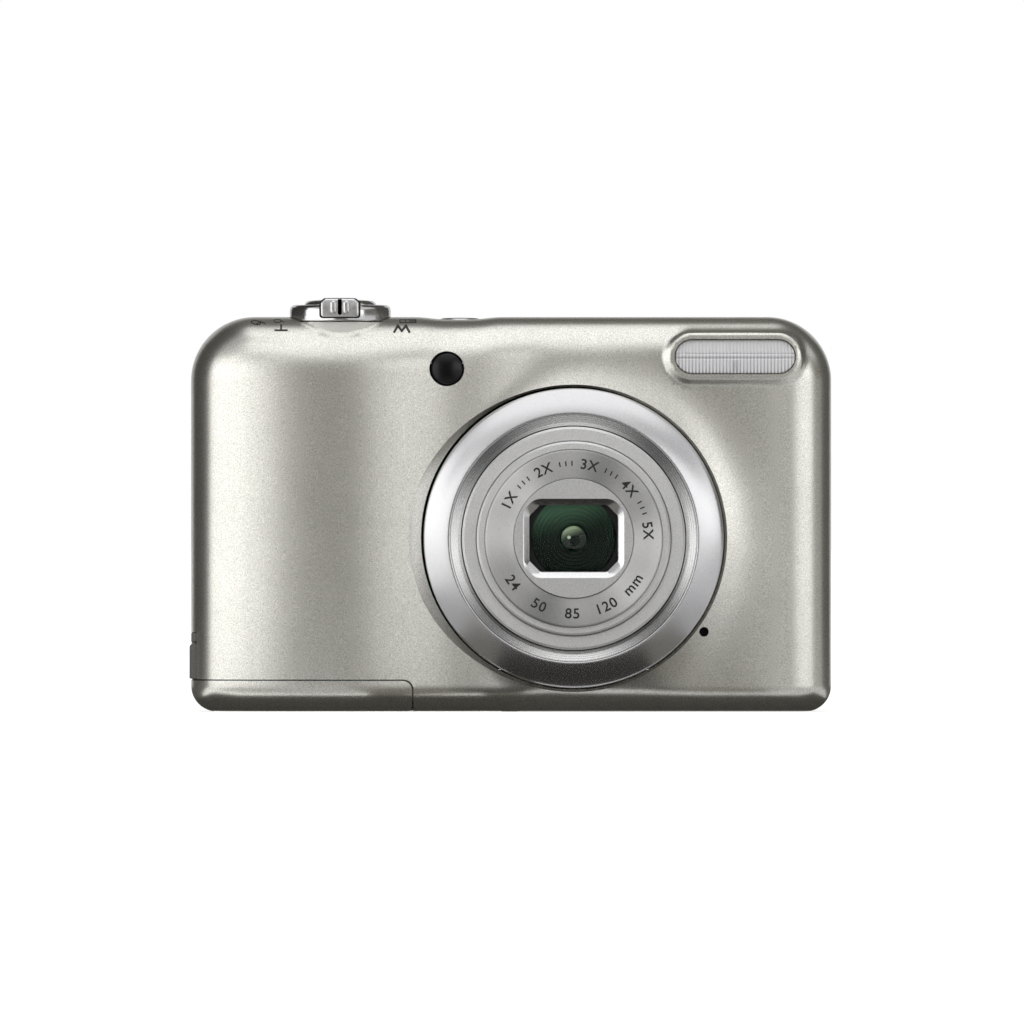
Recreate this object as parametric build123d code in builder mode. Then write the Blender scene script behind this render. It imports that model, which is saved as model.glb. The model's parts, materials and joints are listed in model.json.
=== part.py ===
"""A compact digital camera with a collapsing zoom lens, two AA cells and a rear screen.

Frame: +Z up, the lens looks along -Y, +X is the viewer's right when facing the lens.
The origin is the centre of the footprint on the surface the camera stands on. Millimetres.
"""

import os

from build123d import *

os.makedirs("parts", exist_ok=True)

# ---------------------------------------------------------------- driving dimensions
WIDTH = 96.4
HEIGHT = 59.4  # base to top plate, without the zoom lever
REAR = 14.0  # rear face
FRONT = -6.8  # front face on the flash side
GRIP = -10.5  # crest of the grip
SEAM = 10.2  # plane between the front and rear covers
WALL = 1.5
GAP = 0.1  # clearance on each side of a parting line
CORNER_RADIUS, SHOULDER_RADIUS, BASE_RADIUS, REAR_RADIUS = 9.6, 7.0, 3.9, 2.4

LENS_X, LENS_Z = 9.4, 26.1
RING_RADIUS, RING_BORE = 22.6, 18.85  # bright bezel round the lens
SEAT_RADIUS, SEAT_FLOOR = 22.75, -7.3  # recess that the bezel sits in
FLARE_FRONT, FLARE_FOOT = -7.9, 31.0  # how far the front swells round the bezel, and to what radius
BASE_TUBE, BASE_BORE, BASE_REAR = 18.7, 16.85, 4.6
OUTER_RADIUS, OUTER_BORE, OUTER_FACE = 16.75, 14.65, -12.2
INNER_RADIUS, INNER_BORE, INNER_FACE = 14.55, 12.6, -13.3
PLATE_RADIUS, PLATE_FACE = 8.9, -14.45
WINDOW_WIDTH, WINDOW_HEIGHT, WINDOW_CUT = 13.25, 10.0, 1.6
BLADE_OPEN, BLADE_WIDTH, BLADE_SWEEP = 5.15, 14.4, 12.3

DIAL_X, DIAL_Y, DIAL_RADIUS = -25.7, -1.2, 7.6
SHUTTER_RADIUS = 5.45
POWER_X, POWER_Y, POWER_RADIUS = -7.7, 1.8, 3.1

FLASH_X, FLASH_Z, FLASH_LENGTH, FLASH_HEIGHT = 33.7, 53.4, 18.2, 5.3
LIP_FRONT, LIP = -7.3, 1.0
LAMP_X, LAMP_Z, LAMP_RADIUS = -9.6, 51.6, 2.45
MIC_X, MIC_Z, MIC_RADIUS = 29.0, 12.0, 0.75

DOOR_RIGHT, DOOR_TOP, DOOR_REAR, DOOR_CORNER = -14.75, 4.8, 9.7, 1.5
HINGE_Z, KNUCKLE, DOOR_PIN = 0.85, 0.85, 0.4
LUGS = ((-4.0, -2.4), (6.4, 8.0))  # carriage lugs along the hinge

CELL_RADIUS, CELL_LENGTH, CELL_Y, CELL_BASE = 7.0, 50.2, -0.2, 3.0
CELL_X = (-38.9, -24.4)
NUB_RADIUS, NUB = 2.75, 1.2

TRIPOD_X, TRIPOD_Y, TRIPOD_BORE, TRIPOD_DEPTH = 2.0, 3.6, 3.175, 5.0
FLAP_Y, FLAP_Z, FLAP_PIVOT_X, FLAP_PIVOT_Z = (-3.9, 4.3), (5.0, 10.3), -47.7, 9.6
PORT_Y, PORT_Z, PORT_PIVOT_X, PORT_PIVOT_Y = (2.2, 8.8), (20.5, 33.5), 47.5, 8.1

SCREEN_X, SCREEN_Z, SCREEN_WIDTH, SCREEN_HEIGHT = 14.6, 29.4, 61.0, 46.4
KEY_TOP = 14.45  # how far the rear keys stand
PAD_X, PAD_Z, PAD_RADIUS, OK_RADIUS = -32.4, 24.6, 8.2, 3.4
KEY_PLACES = {  # name: (x, z, radius)
    "movie_button": (-22.6, 49.4, 2.9),
    "mode_button": (-24.6, 38.2, 2.4),
    "playback_button": (-40.2, 38.2, 2.4),
    "menu_button": (-24.6, 10.8, 2.4),
    "delete_button": (-40.2, 10.8, 2.4),
}

LENS_AXIS = Axis((LENS_X, 0, LENS_Z), (0, 1, 0))
LENS_PROFILE = Plane(origin=(LENS_X, 0, LENS_Z), x_dir=(1, 0, 0), z_dir=(0, 0, 1))
DIAL_AXIS = Axis((DIAL_X, DIAL_Y, 0), (0, 0, 1))
DIAL_PROFILE = Plane(origin=(DIAL_X, DIAL_Y, 0), x_dir=(1, 0, 0), z_dir=(0, -1, 0))
HINGE_X = DOOR_RIGHT - GAP - KNUCKLE


# ---------------------------------------------------------------- helpers
def write(builder, name):
    """Labels a finished sub-part and writes its STEP file."""
    builder.part.label = name
    export_step(builder.part, f"parts/{name}.step")


def block(x, y, z, mode=Mode.ADD):
    """A box between pairs of limits."""
    with Locations(((x[0] + x[1]) / 2, (y[0] + y[1]) / 2, (z[0] + z[1]) / 2)):
        Box(x[1] - x[0], y[1] - y[0], z[1] - z[0], mode=mode)


def along_y(x, z, y, radius, mode=Mode.ADD):
    """A disc or rod lying along Y between two depths."""
    with BuildSketch(Plane(origin=(x, y[1], z), x_dir=(1, 0, 0), z_dir=(0, -1, 0))) as outline:
        Circle(radius)
    extrude(outline.sketch, amount=y[1] - y[0], mode=mode)


def along_z(x, y, z, radius, mode=Mode.ADD):
    """A disc or rod standing along Z between two heights."""
    with BuildSketch(Plane.XY.offset(z[0])) as outline:
        with Locations((x, y)):
            Circle(radius)
    extrude(outline.sketch, amount=z[1] - z[0], mode=mode)


def along_x(y, z, x, radius, mode=Mode.ADD):
    """A disc or rod lying along X between two limits."""
    with BuildSketch(Plane.YZ.offset(x[0])) as outline:
        with Locations((y, z)):
            Circle(radius)
    extrude(outline.sketch, amount=x[1] - x[0], mode=mode)


def turned(profile, axis, points):
    """A ring turned about an axis from a closed outline of (radius, depth) points."""
    with BuildSketch(profile) as outline:
        with BuildLine():
            Polyline(*points, close=True)
        make_face()
    revolve(outline.sketch, axis=axis)


def stadium(x, z, y, length, height, mode=Mode.ADD):
    """A round-ended bar shape, drawn facing the front between two depths."""
    with BuildSketch(Plane(origin=(x, y[1], z), x_dir=(1, 0, 0), z_dir=(0, -1, 0))) as outline:
        SlotOverall(length, height)
    extrude(outline.sketch, amount=y[1] - y[0], mode=mode)


# ---------------------------------------------------------------- outer form
def hull(inset, forward=0.0):
    """The camera's outer form with its grip, the same form inset by a wall, or with its front moved out."""
    x0, x1, y1 = -WIDTH / 2 + inset, WIDTH / 2 - inset, REAR - inset
    step = inset - forward
    with BuildPart() as form:
        with BuildSketch(Plane.XY.offset(inset)):
            with BuildLine():
                grip = Spline(
                    (x0, GRIP + 3.1 + step),
                    (-38, GRIP + 0.7 + step),
                    (-28, GRIP + step),
                    (-17, GRIP + 0.65 + step),
                    (-4, GRIP + 2.65 + step),
                    (6, FRONT - 0.2 + step),
                    (12, FRONT + step),
                )
                front = Line(grip @ 1, (30, FRONT + step))
                side = Spline(front @ 1, (40, FRONT + 0.12 + step), (x1, FRONT + 0.4 + step))
                Polyline(side @ 1, (x1, y1), (x0, y1), grip @ 0)
            make_face()
        extrude(amount=HEIGHT - 2 * inset)
        fillet(form.edges().filter_by(Axis.Y).group_by(Axis.Z)[-1], CORNER_RADIUS - inset)
        front_rim = [
            e
            for e in form.edges()
            if e.bounding_box().max.Y < -4 and e.bounding_box().max.Z > inset + 1
            and (abs(abs(e.center().X) - WIDTH / 2) < 9 or e.center().Z > HEIGHT - inset - 0.1)
        ]
        fillet(front_rim, SHOULDER_RADIUS - inset)
        base = form.faces().sort_by(Axis.Z)[0]
        fillet([e for e in base.edges() if e.center().Y < y1 - 0.01], BASE_RADIUS - inset)
        back = form.faces().sort_by(Axis.Y)[-1]
        fillet(back.edges(), max(REAR_RADIUS - inset, 0.6))
    return form.part


OUTSIDE = hull(0.0)
INSIDE = hull(WALL)

# ---------------------------------------------------------------- covers
with BuildPart() as swell:
    # the front swells gently up to the bezel, and is rounded off at the base like the rest
    with BuildSketch(LENS_PROFILE):
        with BuildLine():
            rise = Spline(
                (RING_RADIUS - 1, FLARE_FRONT),
                (26.5, (FLARE_FRONT + FRONT) / 2 - 0.05),
                (FLARE_FOOT, FRONT + 0.03),
            )
            Polyline(rise @ 1, (FLARE_FOOT, FRONT + 3), (RING_RADIUS - 1, FRONT + 3), rise @ 0)
        make_face()
    revolve(axis=LENS_AXIS)
    add(hull(0.0, forward=FRONT - FLARE_FRONT), mode=Mode.INTERSECT)

with BuildPart() as front_cover:
    add(OUTSIDE)
    add(swell.part)
    # pedestal that carries the zoom lever, and the raised lip round the flash
    along_z(DIAL_X, DIAL_Y, (50.0, 58.6), DIAL_RADIUS - 0.05)
    stadium(FLASH_X, FLASH_Z, (LIP_FRONT, 2.0), FLASH_LENGTH + 2 * LIP, FLASH_HEIGHT + 2 * LIP)
    add(INSIDE, mode=Mode.SUBTRACT)
    block((-60, 60), (SEAM - GAP, 30), (-5, 70), Mode.SUBTRACT)
    # a web under the pedestal, kept inside the shell
    along_z(DIAL_X, DIAL_Y, (57.6, 58.6), DIAL_RADIUS - 0.05)
    # lens opening and the seat of the bezel, opening out towards the front
    along_y(LENS_X, LENS_Z, (-20, 0), 20.0, Mode.SUBTRACT)
    with BuildSketch(LENS_PROFILE):
        Polygon(
            (0, SEAT_FLOOR),
            (SEAT_RADIUS, SEAT_FLOOR),
            (SEAT_RADIUS + 3.9, SEAT_FLOOR - 6),
            (0, SEAT_FLOOR - 6),
            align=None,
        )
    revolve(axis=LENS_AXIS, mode=Mode.SUBTRACT)
    # flash, self-timer lamp and microphone openings
    stadium(FLASH_X, FLASH_Z, (-20, 5), FLASH_LENGTH + 0.1, FLASH_HEIGHT + 0.1, Mode.SUBTRACT)
    along_y(LAMP_X, LAMP_Z, (-20, 2), LAMP_RADIUS + 0.05, Mode.SUBTRACT)
    along_y(MIC_X, MIC_Z, (-20, 0), MIC_RADIUS, Mode.SUBTRACT)
    # top: flat landing under the lever, bearing hole, power dish and hole, speaker holes
    along_z(DIAL_X, DIAL_Y, (58.6, 70), DIAL_RADIUS + 0.25, Mode.SUBTRACT)
    along_z(DIAL_X, DIAL_Y, (50, 70), 3.2, Mode.SUBTRACT)
    with Locations((POWER_X, POWER_Y, HEIGHT - 0.45 + 40)):
        Sphere(40, mode=Mode.SUBTRACT)
    along_z(POWER_X, POWER_Y, (50, 70), POWER_RADIUS + 0.1, Mode.SUBTRACT)
    with BuildSketch(Plane.XY.offset(50)):
        with Locations((14.0, 3.5)):
            with GridLocations(2.4, 2.4, 3, 2):
                Circle(0.5)
    extrude(amount=20, mode=Mode.SUBTRACT)
    # tripod hole, screw counterbores on the base
    along_z(TRIPOD_X, TRIPOD_Y, (-1, 3), 5.3, Mode.SUBTRACT)
    for screw_x in (24.0, 42.0):
        along_z(screw_x, 7.6, (-1, 0.9), 1.5, Mode.SUBTRACT)
        along_z(screw_x, 7.6, (-1, 3), 0.85, Mode.SUBTRACT)
    # strap pocket on the right side, open to the side and into the shell
    block((44.8, 60), (4.2, 9.4), (38.5, 45.5), Mode.SUBTRACT)
    # battery door opening, cable flap opening and connector opening
    block((-60, DOOR_RIGHT), (-20, DOOR_REAR), (-5, DOOR_TOP), Mode.SUBTRACT)
    block((-60, -44), (FLAP_Y[0] - GAP, FLAP_Y[1] + GAP), (DOOR_TOP - 0.1, FLAP_Z[1] + 0.1), Mode.SUBTRACT)
    block((44, 60), (PORT_Y[0] - GAP, PORT_Y[1] + GAP), (PORT_Z[0] - GAP, PORT_Z[1] + GAP), Mode.SUBTRACT)
write(front_cover, "front_cover")

with BuildPart() as rear_cover:
    add(OUTSIDE)
    add(INSIDE, mode=Mode.SUBTRACT)
    block((-60, 60), (-30, SEAM + GAP), (-5, 70), Mode.SUBTRACT)
    # screen opening and key holes
    block(
        (SCREEN_X - SCREEN_WIDTH / 2, SCREEN_X + SCREEN_WIDTH / 2),
        (12, 20),
        (SCREEN_Z - SCREEN_HEIGHT / 2, SCREEN_Z + SCREEN_HEIGHT / 2),
        Mode.SUBTRACT,
    )
    for key_x, key_z, key_radius in KEY_PLACES.values():
        along_y(key_x, key_z, (12, 20), key_radius + 0.1, Mode.SUBTRACT)
    along_y(PAD_X, PAD_Z, (12, 20), PAD_RADIUS + 0.25, Mode.SUBTRACT)
    along_y(-38.4, 49.4, (12, 20), 1.0, Mode.SUBTRACT)
    # thumb rest above the keys
    for rest in range(3):
        along_y(-32.6 + 2.6 * rest, 44.0, (13.5, 14.3), 0.7)
write(rear_cover, "rear_cover")

# ---------------------------------------------------------------- front trim
with BuildPart() as lens_ring:
    with BuildSketch(LENS_PROFILE):
        with BuildLine():
            crown = Spline(
                (RING_BORE, -10.9), (19.7, -11.55), (20.8, -11.45), (22.0, -10.3), (RING_RADIUS, -8.6)
            )
            Polyline(
                crown @ 1,
                (RING_RADIUS, SEAT_FLOOR),
                (19.9, SEAT_FLOOR),
                (19.9, -5.2),
                (RING_BORE, -5.2),
                crown @ 0,
            )
        make_face()
    revolve(axis=LENS_AXIS)
write(lens_ring, "lens_ring")

with BuildPart() as turned_ring:
    turned(
        LENS_PROFILE,
        LENS_AXIS,
        [(16.9, -9.6), (16.9, -10.5), (17.2, -10.7), (18.5, -11.0), (18.75, -10.8), (18.75, -9.6)],
    )
write(turned_ring, "turned_ring")

with BuildPart() as flash_window:
    stadium(FLASH_X, FLASH_Z, (-7.35, -4.2), FLASH_LENGTH, FLASH_HEIGHT)
    fillet(flash_window.faces().sort_by(Axis.Y)[0].edges(), 0.4)
write(flash_window, "flash_window")

with BuildPart() as timer_lamp:
    with Locations((LAMP_X, -5.6, LAMP_Z)):
        Sphere(3.1)
    along_y(LAMP_X, LAMP_Z, (-10, -4.0), LAMP_RADIUS, Mode.INTERSECT)
write(timer_lamp, "timer_lamp")

with BuildPart() as microphone:
    along_y(MIC_X, MIC_Z, (-5.25, -3.9), 1.9)
    along_y(MIC_X, MIC_Z, (-6, -5.0), 0.6, Mode.SUBTRACT)
write(microphone, "microphone")

# ---------------------------------------------------------------- lens, from the fixed tube outwards
with BuildPart() as lens_base:
    turned(
        LENS_PROFILE,
        LENS_AXIS,
        [(BASE_BORE, -9.55), (BASE_BORE, BASE_REAR), (BASE_TUBE, BASE_REAR), (BASE_TUBE, -9.55)],
    )
write(lens_base, "lens_base")

with BuildPart() as barrel_outer:
    turned(
        LENS_PROFILE,
        LENS_AXIS,
        [
            (OUTER_BORE + 0.25, OUTER_FACE),
            (OUTER_BORE, OUTER_FACE + 0.25),
            (OUTER_BORE, 3.0),
            (OUTER_RADIUS, 3.0),
            (OUTER_RADIUS, OUTER_FACE + 0.35),
            (OUTER_RADIUS - 0.35, OUTER_FACE),
        ],
    )
write(barrel_outer, "barrel_outer")

with BuildPart() as barrel_inner:
    turned(
        LENS_PROFILE,
        LENS_AXIS,
        [
            (13.35, INNER_FACE),
            (13.35, -11.4),
            (INNER_BORE, -11.4),
            (INNER_BORE, 1.0),
            (INNER_RADIUS, 1.0),
            (INNER_RADIUS, INNER_FACE + 0.3),
            (INNER_RADIUS - 0.3, INNER_FACE),
        ],
    )
write(barrel_inner, "barrel_inner")

with BuildPart() as lens_name_ring:
    turned(
        LENS_PROFILE,
        LENS_AXIS,
        [
            (PLATE_RADIUS + 0.1, -14.2),
            (PLATE_RADIUS + 0.1, -13.7),
            (12.7, -13.7),
            (12.7, -11.45),
            (13.3, -11.45),
            (13.3, -13.75),
            (13.0, -14.05),
        ],
    )
write(lens_name_ring, "lens_name_ring")


def window_outline(grow):
    """The lens window: a rectangle with clipped corners."""
    w, h = WINDOW_WIDTH / 2 + grow, WINDOW_HEIGHT / 2 + grow
    c = WINDOW_CUT + grow * 0.4
    Polygon(
        (-w + c, -h), (w - c, -h), (w, -h + c), (w, h - c),
        (w - c, h), (-w + c, h), (-w, h - c), (-w, -h + c),
        align=None,
    )


with BuildPart() as window_plate:
    along_y(LENS_X, LENS_Z, (PLATE_FACE, -13.7), PLATE_RADIUS)
    with BuildSketch(Plane(origin=(LENS_X, PLATE_FACE, LENS_Z), x_dir=(1, 0, 0), z_dir=(0, -1, 0))):
        window_outline(0.95)
    with BuildSketch(Plane(origin=(LENS_X, -13.85, LENS_Z), x_dir=(1, 0, 0), z_dir=(0, -1, 0))):
        window_outline(0.0)
    loft(mode=Mode.SUBTRACT)
    with BuildSketch(Plane(origin=(LENS_X, -13.0, LENS_Z), x_dir=(1, 0, 0), z_dir=(0, -1, 0))):
        window_outline(0.0)
    extrude(amount=1.0, mode=Mode.SUBTRACT)
write(window_plate, "window_plate")


def barrier_blade(sign):
    """One leaf of the lens barrier, parked above or below the window."""
    with BuildPart() as blade:
        along_y(LENS_X, LENS_Z, (-13.6, -13.2), BLADE_SWEEP)
        block((LENS_X - 30, LENS_X + 30), (-20, 0), (LENS_Z - sign * 30, LENS_Z + sign * BLADE_OPEN)
              if sign > 0 else (LENS_Z - BLADE_OPEN, LENS_Z + 30), Mode.SUBTRACT)
        for side in (-1, 1):
            near, far = LENS_X + side * BLADE_WIDTH / 2, LENS_X + side * 30
            block((min(near, far), max(near, far)), (-20, 0), (0, 60), Mode.SUBTRACT)
    return blade


blade_upper = barrier_blade(1)
write(blade_upper, "blade_upper")
blade_lower = barrier_blade(-1)
write(blade_lower, "blade_lower")

with BuildPart() as blade_plate:
    turned(
        LENS_PROFILE,
        LENS_AXIS,
        [(6.4, -13.1), (12.55, -13.1), (12.55, -12.3), (7.2, -12.3), (7.2, -9.8), (6.4, -9.8)],
    )
write(blade_plate, "blade_plate")

with BuildPart() as front_lens:
    with BuildSketch(LENS_PROFILE):
        with BuildLine():
            front_arc = ThreePointArc((0, -12.9), (3.3, -12.55), (6.35, -11.4))
            Polyline(front_arc @ 1, (6.35, -10.0), (0, -10.0), front_arc @ 0)
        make_face()
    revolve(axis=LENS_AXIS)
write(front_lens, "front_lens")

with BuildPart() as shutter_unit:
    turned(
        LENS_PROFILE,
        LENS_AXIS,
        [(5.6, -9.2), (12.55, -9.2), (12.55, -7.4), (6.6, -7.4), (6.6, -3.2), (5.6, -3.2)],
    )
write(shutter_unit, "shutter_unit")

with BuildPart() as lens_group:
    with BuildSketch(LENS_PROFILE):
        with BuildLine():
            group_arc = ThreePointArc((0, -8.0), (2.9, -7.7), (5.55, -6.8))
            Polyline(group_arc @ 1, (5.55, -3.6), (0, -3.6), group_arc @ 0)
        make_face()
    revolve(axis=LENS_AXIS)
write(lens_group, "lens_group")

ROD_X = 7.3
with BuildPart() as focus_group:
    along_y(LENS_X, LENS_Z, (2.3, 3.5), 5.6)
    block((LENS_X - ROD_X - 1.3, LENS_X + ROD_X + 1.3), (2.3, 3.5), (LENS_Z - 1.3, LENS_Z + 1.3))
    for side in (-1, 1):
        along_y(LENS_X + side * ROD_X, LENS_Z, (0, 5), 0.65, Mode.SUBTRACT)
write(focus_group, "focus_group")

with BuildPart() as guide_rods:
    for side in (-1, 1):
        along_y(LENS_X + side * ROD_X, LENS_Z, (0.2, BASE_REAR), 0.6)
write(guide_rods, "guide_rods")

with BuildPart() as sensor_plate:
    along_y(LENS_X, LENS_Z, (BASE_REAR, 5.6), BASE_TUBE)
    block((LENS_X - 4.9, LENS_X + 4.9), (4, 6), (LENS_Z - 4.1, LENS_Z + 4.1), Mode.SUBTRACT)
write(sensor_plate, "sensor_plate")

with BuildPart() as image_sensor:
    block((LENS_X - 4.8, LENS_X + 4.8), (4.3, 5.6), (LENS_Z - 4.0, LENS_Z + 4.0))
    block((LENS_X - 11, LENS_X + 11), (5.6, 6.3), (LENS_Z - 10, LENS_Z + 10))
write(image_sensor, "image_sensor")

# ---------------------------------------------------------------- drive and electronics
with BuildPart() as zoom_motor:
    along_z(33.6, 1.0, (20.0, 38.0), 4.0)
    along_z(33.6, 1.0, (38.0, 39.2), 1.6)
    block((28.7, 38.0), (-3.4, 5.0), (14.6, 20.0))
write(zoom_motor, "zoom_motor")

with BuildPart() as flash_capacitor:
    along_x(1.6, 6.4, (23.5, 44.0), 4.0)
    fillet(flash_capacitor.edges(), 0.5)
write(flash_capacitor, "flash_capacitor")

with BuildPart() as flash_reflector:
    block((25.2, 42.2), (-4.0, 2.6), (51.0, 55.2))
    with BuildSketch(Plane.YZ.offset(25.9)):
        Polygon((-4.5, 51.4), (-4.5, 54.9), (1.2, 54.2), (1.2, 52.6), align=None)
    extrude(amount=15.6, mode=Mode.SUBTRACT)
write(flash_reflector, "flash_reflector")

with BuildPart() as flash_tube:
    along_x(0.1, 53.4, (25.9, 41.5), 0.75)
write(flash_tube, "flash_tube")

with BuildPart() as main_board:
    block((-16.6, 45.4), (7.6, 8.4), (9.4, 51.6))
    block((40, 60), (7, 9), (37.9, 60), Mode.SUBTRACT)
    block((36, 60), (7, 9), (PORT_Z[0] - 1, PORT_Z[1] + 1), Mode.SUBTRACT)
write(main_board, "main_board")

with BuildPart() as lcd_panel:
    block((-14.9, 44.1), (9.8, 12.3), (7.3, 51.5))
    block((-15.4, 44.6), (9.0, 9.8), (6.8, 52.0))
write(lcd_panel, "lcd_panel")

with BuildPart() as lcd_window:
    block(
        (SCREEN_X - SCREEN_WIDTH / 2 + 0.05, SCREEN_X + SCREEN_WIDTH / 2 - 0.05),
        (12.4, 13.95),
        (SCREEN_Z - SCREEN_HEIGHT / 2 + 0.05, SCREEN_Z + SCREEN_HEIGHT / 2 - 0.05),
    )
    fillet(lcd_window.edges().filter_by(Axis.Y), 0.3)
write(lcd_window, "lcd_window")

with BuildPart() as key_board:
    block((-45.6, -17.2), (9.95, 10.6), (6.4, 52.6))
    fillet(key_board.edges().filter_by(Axis.Y).group_by(Axis.X)[0], 4.0)
write(key_board, "key_board")

with BuildPart() as speaker:
    along_z(14.0, 3.5, (56.3, 57.9), 3.6)
    along_z(14.0, 3.5, (57.2, 58), 2.9, Mode.SUBTRACT)
write(speaker, "speaker")

with BuildPart() as switch_board:
    block((-35.0, -3.0), (-4.6, 7.0), (54.6, 55.4))
write(switch_board, "switch_board")

with BuildPart() as case_screws:
    for screw_x in (24.0, 42.0):
        along_z(screw_x, 7.6, (0.15, 0.85), 1.4)
        along_z(screw_x, 7.6, (0.85, 2.2), 0.8)
write(case_screws, "case_screws")

with BuildPart() as tripod_socket:
    along_z(TRIPOD_X, TRIPOD_Y, (0.05, 6.2), 5.2)
    along_z(TRIPOD_X, TRIPOD_Y, (1.5, 2.5), 5.9)
    along_z(TRIPOD_X, TRIPOD_Y, (0, 0.05 + TRIPOD_DEPTH), TRIPOD_BORE, Mode.SUBTRACT)
write(tripod_socket, "tripod_socket")

with BuildPart() as strap_eyelet:
    # a metal cup let into the side, with an upright bar across its mouth
    block((44.9, 48.0), (4.3, 9.3), (38.6, 45.4))
    block((45.4, 49.0), (4.9, 8.7), (39.2, 44.8), Mode.SUBTRACT)
    along_z(47.2, 6.8, (39.0, 45.0), 0.6)
write(strap_eyelet, "strap_eyelet")

# ---------------------------------------------------------------- power
with BuildPart() as battery_chamber:
    block((-46.4, -17.0), (CELL_Y - 7.5, 7.25), (5.2, 54.3))
    add(hull(WALL + 0.1), mode=Mode.INTERSECT)
    for cell_x in CELL_X:
        along_z(cell_x, CELL_Y, (0, 53.7), CELL_RADIUS + 0.12, Mode.SUBTRACT)
    # cable slot beside the outer cell
    block((-50, -43), (FLAP_Y[0], FLAP_Y[1]), (4, FLAP_Z[1]), Mode.SUBTRACT)
write(battery_chamber, "battery_chamber")


def cell(x, nub_up):
    """One AA cell, standing with its nub up or down."""
    top = CELL_BASE + CELL_LENGTH
    with BuildPart() as battery:
        low, high = (CELL_BASE, top - NUB) if nub_up else (CELL_BASE + NUB, top)
        along_z(x, CELL_Y, (low, high), CELL_RADIUS)
        fillet(battery.edges(), 0.5)
        along_z(x, CELL_Y, (high, top) if nub_up else (CELL_BASE, low), NUB_RADIUS)
    return battery


battery_outer = cell(CELL_X[0], True)
write(battery_outer, "battery_outer")
battery_inner = cell(CELL_X[1], False)
write(battery_inner, "battery_inner")

with BuildPart() as chamber_contacts:
    for cell_x in CELL_X:
        along_z(cell_x, CELL_Y, (CELL_BASE + CELL_LENGTH, 53.7), 3.2)
write(chamber_contacts, "chamber_contacts")

with BuildPart() as card_slot:
    block((-43.8, -18.2), (7.3, 9.6), (5.2, 33.0))
    block((-43.1, -18.9), (7.42, 9.58), (0, 32.4), Mode.SUBTRACT)
write(card_slot, "card_slot")

with BuildPart() as memory_card:
    block((-43.0, -19.0), (7.45, 9.55), (2.2, 32.3))
    with BuildSketch(Plane.XZ.offset(-12)):
        Polygon((-19.0, 2.0), (-19.0, 6.0), (-23.0, 2.0), align=None)
    extrude(amount=10, mode=Mode.SUBTRACT)
write(memory_card, "memory_card")

with BuildPart() as battery_door:
    add(OUTSIDE)
    add(INSIDE, mode=Mode.SUBTRACT)
    block((DOOR_RIGHT - GAP, 60), (-30, 30), (-5, 70), Mode.SUBTRACT)
    block((-60, 60), (-30, 30), (DOOR_TOP - GAP, 70), Mode.SUBTRACT)
    block((-60, 60), (DOOR_REAR - GAP, 30), (-5, 70), Mode.SUBTRACT)
    # the top corner of the front wall is rounded, and the hinge edge rolls round the pin
    with BuildSketch(Plane.XZ.offset(0)):
        with Locations((DOOR_RIGHT - GAP, DOOR_TOP - GAP)):
            Rectangle(2 * DOOR_CORNER, 2 * DOOR_CORNER)
        with Locations((DOOR_RIGHT - GAP - DOOR_CORNER, DOOR_TOP - GAP - DOOR_CORNER)):
            Circle(DOOR_CORNER, mode=Mode.SUBTRACT)
    extrude(amount=20, mode=Mode.SUBTRACT)
    with BuildSketch(Plane.XZ.offset(-30)):
        with Locations((HINGE_X + 1.5, HINGE_Z - 1.5)):
            Rectangle(3.0, 3.0)
        with Locations((HINGE_X, HINGE_Z)):
            Circle(KNUCKLE, mode=Mode.SUBTRACT)
    extrude(amount=60, mode=Mode.SUBTRACT)
    block((HINGE_X - 1.0, HINGE_X + 2), (-5.2, DOOR_REAR - GAP), (HINGE_Z, 3.0), Mode.SUBTRACT)
    along_y(HINGE_X, HINGE_Z, (-5.2, DOOR_REAR - GAP), KNUCKLE)
    for low, high in LUGS:
        block((HINGE_X - 1.1, HINGE_X + 2), (low - 0.1, high + 0.1), (-1, 4.0), Mode.SUBTRACT)
    along_y(HINGE_X, HINGE_Z, (-4.6, 8.8), DOOR_PIN + 0.05, Mode.SUBTRACT)
write(battery_door, "battery_door")

with BuildPart() as door_hinge_pin:
    along_y(HINGE_X, HINGE_Z, (-4.5, 8.7), DOOR_PIN)
write(door_hinge_pin, "door_hinge_pin")

with BuildPart() as door_carriage:
    for low, high in LUGS:
        along_y(HINGE_X, HINGE_Z, (low, high), KNUCKLE)
        block((HINGE_X - KNUCKLE, HINGE_X + 0.75), (low, high), (HINGE_Z, 2.7))
    block((HINGE_X - KNUCKLE, -8.0), (LUGS[0][0], LUGS[1][1]), (1.8, 2.7))
    along_y(HINGE_X, HINGE_Z, (-10, 10), DOOR_PIN + 0.03, Mode.SUBTRACT)
write(door_carriage, "door_carriage")

with BuildPart() as door_contact:
    block((-44.0, -19.4), (-4.0, 4.0), (WALL, 1.85))
    for cell_x in CELL_X:
        with Locations((cell_x, CELL_Y, 1.85 + 0.5)):
            Cone(2.8, 1.4, 1.0)
write(door_contact, "door_contact")

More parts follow.
